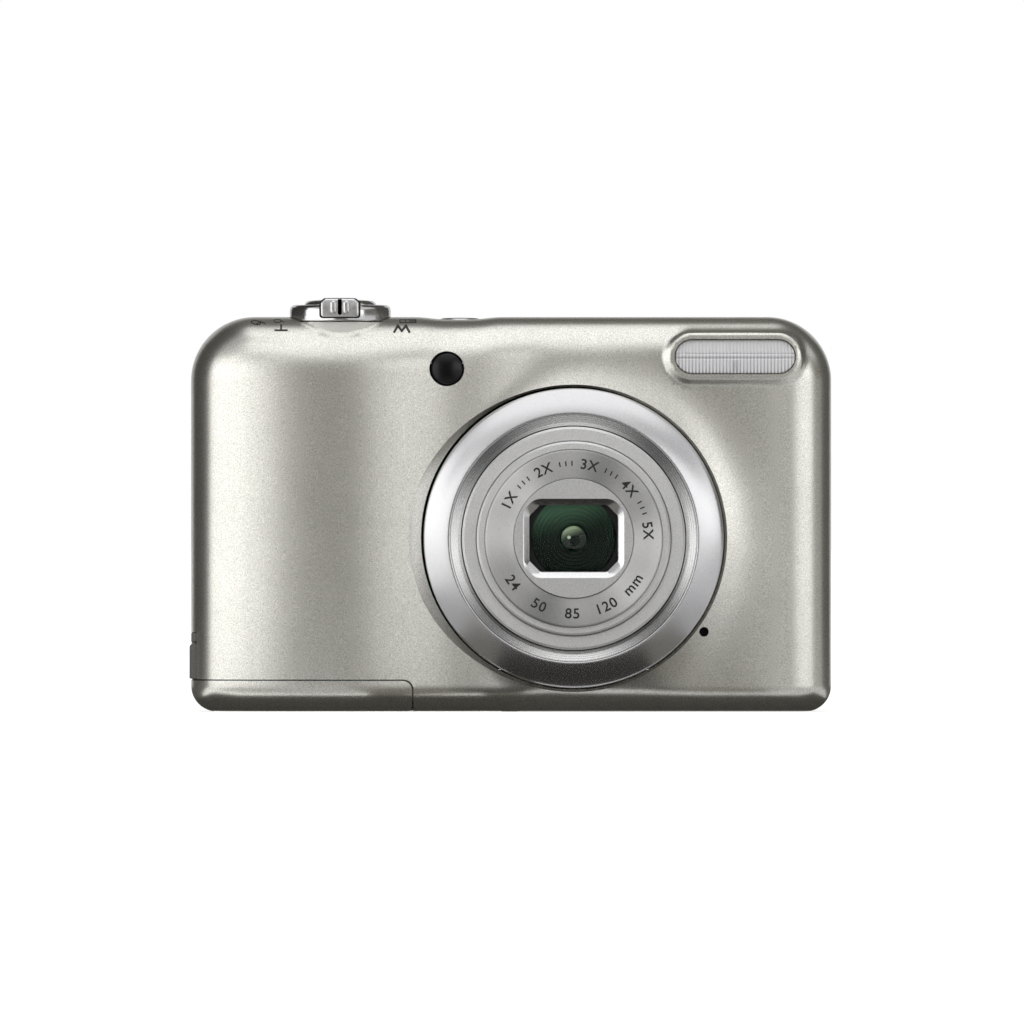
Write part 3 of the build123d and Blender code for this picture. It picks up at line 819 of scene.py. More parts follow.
def box_piece(name: str, x: Point2, y: Point2, z: Point2) -> Object:
    """A plain box, used only to cut other pieces.

    Args:
        name: The piece's name.
        x: Its reach along X.
        y: Its reach along Y.
        z: Its reach along Z.

    Returns:
        The object.
    """
    corners = [(a, b, c) for a in x for b in y for c in z]
    faces = [(0, 1, 3, 2), (4, 6, 7, 5), (0, 4, 5, 1), (2, 3, 7, 6), (0, 2, 6, 4), (1, 5, 7, 3)]
    return piece(name, corners, faces)


def bore(
    name: str, centre: Point2, radius: float, span: Point2, segments: int = 64, upright: bool = False
) -> Object:
    """A round cutter between the two ends of its span, along Y or upright."""
    profile = [(0, span[0]), (radius, span[0]), (radius, span[1]), (0, span[1])]
    return (lathe_up if upright else lathe)(name, centre, profile, segments)


def carve(
    obj: Object, cutters: Sequence[Object], cut: Cut = Cut.OUTSIDE
) -> Object:
    """Cuts a piece with others, one after another, and uses them up.

    Args:
        obj: The piece that is cut.
        cutters: The cutting pieces.
        cut: What is left of the piece.

    Returns:
        The same piece.
    """
    for cutter in cutters:
        modifier = obj.modifiers.new("cut", "BOOLEAN")
        modifier.operation = cut.value
        modifier.object = cutter
        modifier.solver = "EXACT"
    graph = bpy.context.evaluated_depsgraph_get()
    finished = obj.evaluated_get(graph)
    mesh = bpy.data.meshes.new_from_object(finished, preserve_all_data_layers=True, depsgraph=graph)
    obj.modifiers.clear()
    obj.data = mesh
    for cutter in cutters:
        bpy.data.objects.remove(cutter)
    return obj


def twin(obj: Object, name: str) -> Object:
    """A copy of a piece with its own mesh.

    Args:
        obj: The piece.
        name: The copy's name.

    Returns:
        The copy.
    """
    copy = obj.copy()
    copy.data = obj.data.copy()
    copy.name = name
    bpy.context.scene.collection.objects.link(copy)
    return copy


def merged(name: str, parts: Sequence[Object]) -> Object:
    """Joins several pieces into one object.

    Args:
        name: The new piece's name.
        parts: The pieces, which are used up.

    Returns:
        The joined piece.
    """
    bm = bmesh.new()
    for part in parts:
        part.data.transform(part.matrix_world)
        bm.from_mesh(part.data)
    mesh = bpy.data.meshes.new(name)
    bm.to_mesh(mesh)
    bm.free()
    for part in parts:
        bpy.data.objects.remove(part)
    return placed(name, mesh)


def dress(obj: Object, body: str, slot: str, material: Material, *nodes: str) -> Object:
    """Gives a finished piece its material and body, and hides the solids it stands for.

    Args:
        obj: The piece.
        body: The moving body it rides on.
        slot: The record's material slot; not used.
        material: Its material.
        nodes: The solids it stands for.

    Returns:
        The same piece.
    """
    obj.data.materials.clear()
    obj.data.materials.append(material)
    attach(obj, body)
    if nodes:
        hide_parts(*nodes)
    log.info("%s on %s, %d faces", obj.name, body, len(obj.data.polygons))
    return obj


# ---- the camera's outer form
def smooth_curve(knots: Outline) -> Callable[[np.ndarray], np.ndarray]:
    """A natural cubic through knots.

    Args:
        knots: Its points.

    Returns:
        A function of x.
    """
    x, y = np.array(knots, float).T
    h = np.diff(x)
    n = len(x)
    system, right = np.eye(n), np.zeros(n)
    for i in range(1, n - 1):
        system[i, i - 1 : i + 2] = h[i - 1], 2 * (h[i - 1] + h[i]), h[i]
        right[i] = 3 * ((y[i + 1] - y[i]) / h[i] - (y[i] - y[i - 1]) / h[i - 1])
    c = np.linalg.solve(system, right)
    b = np.diff(y) / h - h * (2 * c[:-1] + c[1:]) / 3
    d = np.diff(c) / (3 * h)

    def value(at: np.ndarray) -> np.ndarray:
        """The curve's height at x.

        Args:
            at: Some x.

        Returns:
            Their heights.
        """
        i = np.clip(np.searchsorted(x, at) - 1, 0, n - 2)
        t = np.clip(at, x[0] - 2, x[-1] + 2) - x[i]
        return y[i] + b[i] * t + c[i] * t**2 + d[i] * t**3

    return value


def meet(a: np.ndarray, b: np.ndarray, radius: np.ndarray | float, power: float = 2.0) -> np.ndarray:
    """Where two surfaces bound a body, their common field with a rounded edge.

    Args:
        a: One signed distance, negative inside.
        b: The other.
        radius: The edge's reach on each side.
        power: 2 for a round edge, more for one that eases into its sides.

    Returns:
        The joint signed distance.
    """
    u, v = np.maximum(a + radius, 0), np.maximum(b + radius, 0)
    return np.minimum(np.maximum(a, b), -radius) + (u**power + v**power + 1e-12) ** (1 / power)


def soft_union(a: np.ndarray, b: np.ndarray, width: float) -> np.ndarray:
    """Joins two bodies' fields with a fillet about width wide."""
    h = np.clip(0.5 + 0.5 * (b - a) / width, 0, 1)
    return b * (1 - h) + a * h - width * h * (1 - h)


@dataclass
class OuterForm:
    """The painted outer form as a signed field, and skins drawn on it."""

    width: float = 96.4
    height: float = 59.4
    rear: float = 14.0
    corner: float = 9.6
    base_radius: float = 3.9
    rear_radius: float = 2.4
    lens: Point2 = LENS
    face: float = -6.8
    face_share: float = 0.985
    swell_front: float = -7.85
    swell_blend: float = 0.6
    flash: Point2 = (33.7, 53.4)
    flash_half: float = 6.45
    flash_reach: float = 3.65
    lip_front: float = -7.45
    lip_round: float = 0.50
    lip_blend: float = 1.1
    dial: Point2 = (-25.7, -1.2)
    dial_radius: float = 7.55
    dial_drop: float = 0.25
    dial_round: float = 0.3
    dial_blend: float = 0.45
    wall: float = 1.5
    shoulder_left: float = 9.0
    shoulder_right: float = 6.4
    shoulder_middle: float = -8.0
    shoulder_change: float = 6.0
    shoulder_power: float = 2.5
    dip_x: float = -7.9
    dip_depth: float = 0.36
    dip_reach: float = 4.6
    swell_inner: float = 23.0
    swell_width: float = 8.6
    grip: Outline = (
        (-50, -6.9), (-48.2, -7.7), (-43, -8.8), (-38, -9.7), (-33, -10.3), (-28, -10.5), (-22.5, -10.32),
        (-17, -9.68), (-10, -8.7), (-4, -8.2), (2, -7.55), (8, -6.98), (14, -6.83), (22, -6.8), (30, -6.98),
        (40, -6.9), (48.2, -6.3), (50, -6.3),
    )

    def __post_init__(self) -> None:
        """Prepares the plan curve of the front."""
        self.plan = smooth_curve(self.grip)

    def front(self, x: np.ndarray, z: np.ndarray) -> np.ndarray:
        """The front skin's depth, with the swell round the lens.

        Args:
            x: Some x.
            z: Their z.

        Returns:
            The y at each.
        """
        r = np.hypot(x - self.lens[0], z - self.lens[1])
        t = np.clip((r - self.swell_inner) / self.swell_width, 0, 1)
        swell = self.face + (self.swell_front - self.face) * (1 - t) ** 2
        return soft_union(swell, self.plan(x), self.swell_blend)

    def field(self, p: np.ndarray) -> np.ndarray:
        """Signed distance to the outer form, negative inside.

        Args:
            p: Points, one per row.

        Returns:
            One distance per point.
        """
        x, y, z = p[:, 0], p[:, 1], p[:, 2]
        dip = self.dip_depth * np.exp(-(((x - self.dip_x) / self.dip_reach) ** 4))
        side, top = np.abs(x) - self.width / 2, z - self.height + dip
        outline = meet(side, top, self.corner)
        share = 1 / (1 + np.exp(-(x - self.shoulder_middle) / self.shoulder_change))
        shoulder = self.shoulder_left * (1 - share) + self.shoulder_right * share
        body = meet(outline, (self.front(x, z) - y) * self.face_share, shoulder, self.shoulder_power)
        dx = np.maximum(np.abs(x - self.flash[0]) - self.flash_half, 0)
        bar = np.hypot(dx, z - self.flash[1]) - self.flash_reach
        lip = meet(bar, self.lip_front - y, self.lip_round)
        body = soft_union(body, lip, self.lip_blend)
        column = np.hypot(x - self.dial[0], y - self.dial[1]) - self.dial_radius
        stand = meet(column, z - self.height + self.dial_drop, self.dial_round)
        body = soft_union(body, stand, self.dial_blend)
        body = meet(body, y - self.rear, self.rear_radius)
        return meet(body, -z, self.base_radius)

    def depth(self, x: np.ndarray, z: np.ndarray) -> np.ndarray:
        """The y of the front skin at some places.

        Args:
            x: Their x.
            z: Their z.

        Returns:
            The y where a line along Y first meets the form.
        """
        low, high = np.full(len(x), -16.0), np.full(len(x), 5.0)
        for _ in range(36):
            middle = (low + high) / 2
            inside = self.field(np.stack([x, middle, z], axis=1)) < 0
            high, low = np.where(inside, middle, high), np.where(inside, low, middle)
        return (low + high) / 2

    def normals(self, p: np.ndarray) -> np.ndarray:
        """Outward normals at points on the form.

        Args:
            p: Points, one per row.

        Returns:
            One unit vector per point.
        """
        step = 0.02
        grads = [self.field(p + step * e) - self.field(p - step * e) for e in np.eye(3)]
        n = np.stack(grads, axis=1)
        return n / np.linalg.norm(n, axis=1, keepdims=True)

    def skin(self, depth: float, fine: bool) -> tuple[np.ndarray, list[tuple[int, ...]]]:
        """A closed skin at some depth under the surface.

        Args:
            depth: How far inside, in millimetres.
            fine: Whether it is the one that shows.

        Returns:
            Points and faces.
        """
        pitch, fans = (0.62, ((16, 16), (24, 10), (16, 26))) if fine else (2.4, ((7, 7), (7, 7), (7, 7)))
        core = ((-38.4, 38.4), (0.9, 11.2), (4.2, 49.6))
        axes = []
        for (low, high), (first, last) in zip(core, fans):
            flat = max(2, int(round((high - low) / pitch)))
            spot = np.full(first, low), np.linspace(low, high, flat + 1), np.full(last, high)
            before, after = np.linspace(-1, 0, first, endpoint=False), np.linspace(0, 1, last + 1)[1:]
            axes.append((np.concatenate(spot), np.concatenate([before, np.zeros(flat + 1), after])))
        sizes = [len(a[0]) for a in axes]
        numbers: dict[tuple[int, int, int], int] = {}
        faces: list[tuple[int, ...]] = []

        def number(key: tuple[int, int, int]) -> int:
            """The vertex at a place on the lattice."""
            return numbers.setdefault(key, len(numbers))

        for fixed in range(3):
            u, v = [a for a in range(3) if a != fixed]
            for end in (0, sizes[fixed] - 1):
                for i in range(sizes[u] - 1):
                    for j in range(sizes[v] - 1):
                        quad = []
                        for du, dv in ((0, 0), (1, 0), (1, 1), (0, 1)):
                            key = [0, 0, 0]
                            key[fixed], key[u], key[v] = end, i + du, j + dv
                            quad.append(number(tuple(key)))
                        faces.append(tuple(quad))
        keys = np.array(list(numbers))
        start = np.stack([axes[a][0][keys[:, a]] for a in range(3)], axis=1)
        tilt = np.stack([axes[a][1][keys[:, a]] for a in range(3)], axis=1)
        ray = np.tan(tilt * math.pi / 4)
        ray /= np.linalg.norm(ray, axis=1, keepdims=True)
        low, high = np.zeros(len(start)), np.full(len(start), 26.0)
        for _ in range(34):
            middle = (low + high) / 2
            outside = self.field(start + ray * middle[:, None]) + depth > 0
            high, low = np.where(outside, middle, high), np.where(outside, low, middle)
        return start + ray * ((low + high) / 2)[:, None], faces

    def shell(self, name: str) -> Object:
        """The whole hollow form, as one closed mesh with a cavity.

        Args:
            name: The piece's name.

        Returns:
            The object.
        """
        outer, outer_faces = self.skin(0.0, True)
        inner, inner_faces = self.skin(self.wall, False)
        outside = piece(name + "_outer", outer, outer_faces)
        inside = piece(name + "_inner", inner, inner_faces)
        inside.data.flip_normals()
        return merged(name, [outside, inside])

    def polish(self, obj: Object) -> None:
        """Gives faces on the outer skin the form's own normals, and keeps cut faces crisp.

        Args:
            obj: A piece cut from the shell.
        """
        mesh = obj.data
        mesh.shade_smooth()
        corners = np.zeros(len(mesh.loops), int)
        mesh.loops.foreach_get("vertex_index", corners)
        points = np.zeros(len(mesh.vertices) * 3)
        mesh.vertices.foreach_get("co", points)
        points = points.reshape(-1, 3) / MM
        flat = np.zeros(len(mesh.polygons) * 3)
        mesh.polygons.foreach_get("normal", flat)
        sizes = np.zeros(len(mesh.polygons), int)
        mesh.polygons.foreach_get("loop_total", sizes)
        per_corner = np.repeat(flat.reshape(-1, 3), sizes, axis=0)
        gap = np.abs(self.field(points))
        true = self.normals(points)
        on_skin = (gap[corners] < 0.03) & (np.einsum("ij,ij->i", true[corners], per_corner) > 0.80)
        result = np.where(on_skin[:, None], true[corners], per_corner)
        mesh.normals_split_custom_set(result.tolist())


@dataclass
class Shells:
    """The covers and the battery door, all cut from one outer form."""

    form: OuterForm
    paint: Material
    liner: Material
    seam: float = 10.2
    gap: float = 0.09
    door_right: float = -14.75
    door_top: float = 4.8
    door_rear: float = 9.7
    hinge: Point2 = (-15.7, 0.85)
    knuckle: float = 0.85
    lugs: Outline = ((-4.0, -2.4), (6.4, 8.0))
    recess_foot: float = 22.72
    recess_gap: float = 0.22
    recess_mouth: float = 23.1
    recess_spread: float = 1.8
    recess_floor: float = -7.3
    recess_depth: float = 1.15
    recess_bow: float = 2.3
    gasket_depths: Point2 = (0.35, 1.3)
    gasket_reach: Point2 = (9.66, 10.6)
    door_corner: float = 1.5
    dial_clearance: float = 7.85
    screw_places: Outline = ((24.0, 7.6), (42.0, 7.6))
    sound_middle: Point2 = (14.0, 3.5)
    sound_pitch: float = 2.4
    bowl: Point3 = (6.2, 58.95, 0.45)
    key_holes: Sequence[tuple[Point2, float]] = (
        (MOVIE_KEY, 3.0), (MODE_KEY, 2.5), (PLAYBACK_KEY, 2.5), (MENU_KEY, 2.5), (DELETE_KEY, 2.5),
        (SELECTOR, 8.45), (SIGNAL_LAMP, 1.0),
    )

    def door_outline(self, grow: float) -> list[Point2]:
        """The door's front outline, with its one rounded corner.

        Args:
            grow: How far outside the door's own edge.

        Returns:
            The loop.
        """
        x, z, r = self.door_right + grow, self.door_top + grow, self.door_corner
        turns = np.linspace(0, math.pi / 2, 9)
        corner = [(x - r + r * math.cos(t), z - r + r * math.sin(t)) for t in turns]
        return [(-60.0, -5.0), (x, -5.0), *corner, (-60.0, z)]

    def door_block(self, grow: float, rear: float) -> Object:
        """The block that takes the door out of the shell."""
        loop = self.door_outline(grow)
        return stack("door_block", [[(x, -30.0, z) for x, z in loop], [(x, rear, z) for x, z in loop]])

    def hinge_cutters(self) -> list[Object]:
        """The room for the carriage's lugs, and the edge that rolls round the hinge pin.

        Returns:
            The cutters.
        """
        x, z = self.hinge
        turns = np.linspace(-math.pi / 2, 0, 9)
        roll = [(x + self.knuckle * math.cos(t), z + self.knuckle * math.sin(t)) for t in turns]
        loop = [*roll, (x + 3.0, z), (x + 3.0, z - 3.0), (x, z - 3.0)]
        corner = stack("roll", [[(px, y, pz) for px, pz in loop] for y in (-30.0, 30.0)])
        above = box_piece("above", (x - 1.0, x + 2.0), (-5.2, 20.0), (z, 3.0))
        room = [((x - 1.1, x + 2.0), (low - 0.1, high + 0.1), (-1.0, 4.0)) for low, high in self.lugs]
        lugs = [box_piece("lug", *box) for box in room]
        return [corner, above, *lugs]

    def recess(self, angle: float) -> list[Point2]:
        """The recess round the bezel at one angle, wider where the grip side stands proud.

        Args:
            angle: The angle round the lens, counter-clockwise from the right.

        Returns:
            Its profile, from the axis over the open side to the floor.
        """
        mouth = self.recess_mouth + self.recess_spread * max(0.0, -math.cos(angle)) ** 3
        foot = self.recess_foot + self.recess_gap * max(0.0, math.cos(angle - math.radians(155)))
        x = self.form.lens[0] + mouth * math.cos(angle)
        z = self.form.lens[1] + mouth * math.sin(angle)
        lip = float(self.form.depth(np.array([x]), np.array([z]))[0])
        floor = min(self.recess_floor, lip + self.recess_depth)
        rise, reach = lip - floor, mouth - foot
        turns = np.radians((82, 72, 60, 45, 30, 15, 0))
        bow = self.recess_bow
        wall = [(foot + reach * (1 - math.cos(t) ** bow), floor + rise * math.sin(t) ** bow) for t in turns]
        return [(0, -16), (mouth + 6, -16), (mouth + 0.7, lip - 0.6), *wall, (foot, 2.0), (0, 2.0)]

    def lens_cutter(self) -> Object:
        """The recess that the bezel sits in."""
        return lathe("lens_cutter", self.form.lens, self.recess, 240)

    def front_cutters(self) -> list[Object]:
        """Everything that is cut out of the front cover.

        Returns:
            The cutters.
        """
        dial = self.form.dial
        cutters = [
            box_piece("rear_half", (-60, 60), (self.seam - self.gap, 40), (-10, 80)),
            self.door_block(self.gap, self.door_rear + self.gap),
            self.lens_cutter(),
            tablet("flash_hole", stadium(self.form.flash, 18.25, 5.3), -12.0, 4.0, 0.01),
            bore("lamp_hole", TIMER_LAMP, 2.62, (-20, 0), 72),
            bore("mic_hole", (29.0, 12.05), 0.72, (-20, -5), 40),
            bore("lever_landing", dial, self.dial_clearance, (58.6, 70), 160, upright=True),
            bore("lever_bearing", dial, 3.2, (50, 70), upright=True),
            bore("power_hole", POWER_KEY, 3.22, (50, 70), 72, upright=True),
            lathe_up("power_dish", POWER_KEY, self.dish(), 96),
            box_piece("flap_hole", (-60, -44), (-4.0, 4.4), (4.9, 12.0)),
            box_piece("port_hole", (44, 60), (2.1, 8.9), (20.4, 33.6)),
            box_piece("strap_hole", (44.9, 60), (4.2, 9.4), (38.5, 45.5)),
            bore("tripod_hole", (2.0, 3.6), 5.3, (-3, 3), 72, upright=True),
        ]
        for spot in self.screw_places:
            cutters.append(bore("screw_hole", spot, 1.5, (-3, 0.9), 40, upright=True))
        (x, y), pitch = self.sound_middle, self.sound_pitch
        for row in (-0.5, 0.5):
            for column in (-1, 0, 1):
                spot = (x + pitch * column, y + pitch * row)
                cutters.append(bore("sound_hole", spot, 0.5, (50, 70), 20, upright=True))
        return cutters

    def rear_cutters(self) -> list[Object]:
        """Everything that is cut out of the rear cover.

        Returns:
            The cutters.
        """
        half = box_piece("front_half", (-60, 60), (-40, self.seam + self.gap), (-10, 80))
        screen = tablet("screen_hole", rectangle(SCREEN, 61.0, 46.4, 0.4), 12.0, 20.0, 0.01)
        return [half, screen, *(bore("key_hole", spot, r, (11, 20)) for spot, r in self.key_holes)]

    def finished(self, obj: Object, body: str, node: str) -> None:
        """Smooths a cover and dresses it in the paint, on its body and for its solid."""
        self.form.polish(obj)
        dress(obj, body, "shell_silver", self.paint, node)

    def build(self) -> None:
        """Cuts and dresses the front cover, rear cover and battery door."""
        front = self.form.shell("camera_form")
        door = twin(front, "battery_door_skin")
        rear = twin(front, "rear_cover_skin")
        front.name = "front_cover_skin"
        carve(door, [self.door_block(-self.gap, self.door_rear - self.gap)], Cut.INSIDE)
        self.finished(carve(door, self.hinge_cutters()), "door", "battery_door")
        self.finished(carve(front, self.front_cutters()), "camera_body", "front_cover")
        self.finished(carve(rear, self.rear_cutters()), "camera_body", "rear_cover")
        self.gasket()

    def gasket(self) -> None:
        """The dark band inside the seam, so no light shows through it."""
        layers = [piece("band", *self.form.skin(depth, False)) for depth in self.gasket_depths]
        layers[1].data.flip_normals()
        band = merged("seam_gasket", layers)
        carve(band, [box_piece("slab", (-60, 60), self.gasket_reach, (-10, 80))], Cut.INSIDE)
        dress(band, "camera_body", "frame_black", self.liner)

    def dish(self) -> list[Point2]:
        """The shallow bowl that the power button lies in.

        Returns:
            Its profile, from its middle outwards and up.
        """
        reach, low, depth = self.bowl
        spots = np.linspace(0, reach, 14)
        bowl = [(r, low + depth * (1 - math.cos(math.pi * r / reach)) / 2) for r in spots]
        return [*bowl, (reach, 66.0), (0.0, 66.0)]


@dataclass
class LensFront:
    """The bezel, the two barrels, the name ring, the window plate and the glass."""

    centre: Point2
    finishes: Finishes
    segments: int = 256
    cap_height: float = 1.5
    bevel: float = 0.95
    words_radius: float = 11.25
    scale_start: float = 150.0
    scale_end: float = 6.0
    zoom_steps: int = 5
    length_scale: Point2 = (216.0, 322.0)
    lengths: Sequence[str] = ("24", "50", "85", "120", "mm")
    tick_spots: Point3 = (0.37, 0.50, 0.63)
    tick_length: float = 0.75
    tick_width: float = 0.2
    ring_face: float = -14.2
    mouth_size: Point2 = (13.25, 10.0)
    mouth_cut: float = 1.6
    glass_reach: float = 6.3
    glass_bow: float = 0.42

    def bezel(self) -> None:
        """The wide satin ring, which falls away outwards, and the turned ring inside it."""
        spots = np.linspace(18.74, 22.28, 16)
        slope = [(r, -11.42 + 0.19 * (r - 19.0) + 0.050 * (r - 19.0) ** 2) for r in spots]
        crown = [
            (18.5, -10.6), (18.5, -11.2), (18.53, -11.36), (18.61, -11.44), *slope, (22.44, -10.12),
            (22.52, -9.9), (22.52, -7.35), (19.9, -7.35), (19.9, -5.2), (18.5, -5.2),
        ]
        ring = lathe("lens_bezel", self.centre, crown, self.segments)
        dress(ring, "camera_body", "bright_ring", self.finishes["bright_ring"], "lens_ring")
        funnel = [(18.47, -10.95), (18.47, -9.6), (16.9, -9.6), (16.9, -10.5), (16.96, -10.58)]
        inner = lathe("lens_turned_ring", self.centre, funnel, self.segments)
        dress(inner, "camera_body", "turned_metal", self.finishes["turned_metal"], "turned_ring")

    def barrels(self) -> None:
        """The outer and inner telescoping tubes."""
        outer = [
            (16.76, -11.86), (16.76, 3.0), (14.65, 3.0), (14.65, -12.08), (14.76, -12.2), (16.40, -12.2),
        ]
        tube = lathe("barrel_outer_tube", self.centre, outer, self.segments)
        dress(tube, "lens_outer", "barrel_grey", self.finishes["barrel_grey"], "barrel_outer")
        inner = [
            (14.55, -13.0), (14.55, 1.0), (12.6, 1.0), (12.6, -11.4), (13.36, -11.4), (13.36, -13.22),
            (13.44, -13.3), (14.24, -13.3),
        ]
        tube = lathe("barrel_inner_tube", self.centre, inner, self.segments)
        dress(tube, "lens_inner", "barrel_grey", self.finishes["barrel_grey"], "barrel_inner")

    def name_ring(self) -> None:
        """The ring round the window, with its printed figures."""
        ring = [
            (9.0, -14.05), (9.0, -13.7), (12.7, -13.7), (12.7, -11.45), (13.3, -11.45), (13.3, -14.0),
            (13.1, -14.2), (9.12, -14.2),
        ]
        made = lathe("lens_name_ring_face", self.centre, softened(ring, 0.08, 2), self.segments)
        dress(made, "lens_inner", "name_ring_metal", self.finishes["name_ring_metal"], "lens_name_ring")
        for index, turn in enumerate(np.linspace(self.scale_start, self.scale_end, self.zoom_steps)):
            self.figure(f"print_zoom_{index + 1}x", f"{index + 1}X", turn, True)
        for text, turn in zip(self.lengths, np.linspace(*self.length_scale, len(self.lengths))):
            self.figure("print_length_" + text, text, turn, False)
        gap = (self.scale_end - self.scale_start) / (self.zoom_steps - 1)
        steps = range(self.zoom_steps - 1)
        spots = [self.scale_start + gap * (k + part) for k in steps for part in self.tick_spots]
        ticks = merged("print_ticks", [self.tick(turn) for turn in spots])
        dress(ticks, "lens_inner", "name_ring_metal", self.finishes["black_print"])

    def figure(self, name: str, text: str, turn_deg: float, over: bool) -> None:
        """One printed figure of the zoom scale.

        Args:
            name: The piece's name.
            text: The figure.
            turn_deg: Its angle, counter-clockwise from the right.
            over: Whether its top points outwards.
        """
        ring = self.centre, self.words_radius
        made = bent_words(name, text, *ring, math.radians(turn_deg), over, self.cap_height, self.ring_face)
        dress(made, "lens_inner", "name_ring_metal", self.finishes["black_print"])

    def tick(self, turn_deg: float) -> Object:
        """One short printed line between two figures.

        Args:
            turn_deg: Its angle, counter-clockwise from the right.

        Returns:
            The line, as a thin solid.
        """
        t = math.radians(turn_deg)
        along = np.array((math.cos(t), math.sin(t)))
        across = np.array((-along[1], along[0])) * self.tick_width / 2
        inner, outer = self.words_radius - self.tick_length / 2, self.words_radius + self.tick_length / 2
        corners = ((inner, -1), (outer, -1), (outer, 1), (inner, 1))
        loop = [along * r + across * side + np.array(self.centre) for r, side in corners]
        levels = self.ring_face - 0.01, self.ring_face + 0.015
        return stack("tick", [[(x, y, z) for x, z in loop] for y in levels])

    def window(self) -> None:
        """The centre plate and the bright bevelled frame of its mouth."""
        hole = self.mouth(self.bevel)
        cutter = stack("mouth", [[(x, y, z) for x, z in hole] for y in (-15.0, -12.0)])
        disc = [(0.0, -13.7), (8.96, -13.7), (8.96, -14.38), (8.9, -14.45), (0.0, -14.45)]
        plate = carve(lathe("window_plate_disc", self.centre, disc, 160), [cutter])
        crisp(plate.data, 28)
        dress(plate, "lens_inner", "window_grey", self.finishes["window_grey"], "window_plate")
        g = self.bevel
        levels = [
            (0.0, -13.68), (0.0, -13.78), (0.06, -13.86), (g - 0.08, -14.42), (g, -14.45), (g, -13.68),
        ]
        rings = [[(x, y, z) for x, z in self.mouth(g)] for g, y in levels]
        frame_piece = stack("window_bevel", rings, 30, frame_like=True)
        dress(frame_piece, "lens_inner", "window_grey", self.finishes["bevel_metal"])

    def mouth(self, grow: float) -> list[Point2]:
        """The window's outline, with cut corners inside and rounder ones further out.

        Args:
            grow: How far outside the glass opening.

        Returns:
            The loop.
        """
        w, h = self.mouth_size[0] / 2 + grow, self.mouth_size[1] / 2 + grow
        cut = self.mouth_cut + 0.1 * grow
        lower = [(-w + cut, -h), (w - cut, -h), (w, -h + cut), (w, h - cut)]
        ring = lower + [(-a, -b) for a, b in lower]
        return softened([(self.centre[0] + a, self.centre[1] + b) for a, b in ring], 0.6 + 2.2 * grow, 6)

    def glass(self) -> None:
        """The front element; the dark baffle rings behind it and the small inner element, both with a
        painted green reflection; a black disc of painted shade; and a pale bead that is a painted
        highlight.
        """
        reach, bow = self.glass_reach, self.glass_bow
        front = [(r, -12.75 + bow * (r / reach) ** 2) for r in np.linspace(0, reach, 18)]
        rear = [(r, -12.35 + bow * (r / reach) ** 2) for r in np.linspace(reach, 0, 18)]
        element = lathe("front_element", self.centre, [*front, *rear], 160)
        dress(element, "lens_inner", "lens_glass", self.finishes["lens_glass"], "front_lens")
        steps = [(8.5, -12.1), (7.6, -12.0)]
        for k in range(9):
            r = 6.9 - 0.55 * k
            steps += [(r, -11.98 + 0.13 * k), (r - 0.10, -11.86 + 0.13 * k)]
        steps += [(2.1, -10.75), (2.1, -9.4), (8.5, -9.4)]
        baffle = lathe("lens_baffle", self.centre, steps, 160)
        # Its material paints a green reflection that brightens towards the top left.
        dress(baffle, "lens_inner", "blade_black", self.finishes["lens_depth"])
        second = [(r, -11.35 + 0.16 * r * r) for r in np.linspace(0, 1.85, 14)]
        inner = lathe("inner_element", self.centre, [*second, (1.85, -9.9), (0, -9.9)], 96)
        # Its material paints a green crescent of reflection at its top left.
        dress(inner, "lens_inner", "lens_glass", self.finishes["inner_glass"])
        # Painted shade: a black disc, a little right of and below the axis, darkens the middle of the lens.
        low = (self.centre[0] + 0.2, self.centre[1] - 0.35)
        shade_disc_profile = [(0.8 * math.sin(t), -11.36 - 0.06 * math.cos(t)) for t in np.linspace(0, math.pi / 2, 6)]
        painted_shade_disc = lathe("lens_painted_shade_disc", low, [*shade_disc_profile, (0.8, -10.9), (0, -10.9)], 48)
        dress(painted_shade_disc, "lens_inner", "lens_glass", self.finishes["blade_black"])
        # Painted highlight: a small pale bead left of and a little above the axis.
        painted_glint = (self.centre[0] - 0.7, self.centre[1] + 0.15)
        bead = [(0.26 * math.sin(t), -11.36 - 0.14 * math.cos(t)) for t in np.linspace(0, math.pi / 2, 8)]
        painted_highlight_bead = lathe("lens_painted_highlight_bead", painted_glint, [*bead, (0.26, -11.1), (0, -11.1)], 48)
        dress(painted_highlight_bead, "lens_inner", "lens_glass", self.finishes["painted_highlight_bead_glass"])

    def build(self) -> None:
        """Builds every piece of the lens front."""
        self.bezel()
        self.barrels()
        self.name_ring()
        self.window()
        self.glass()


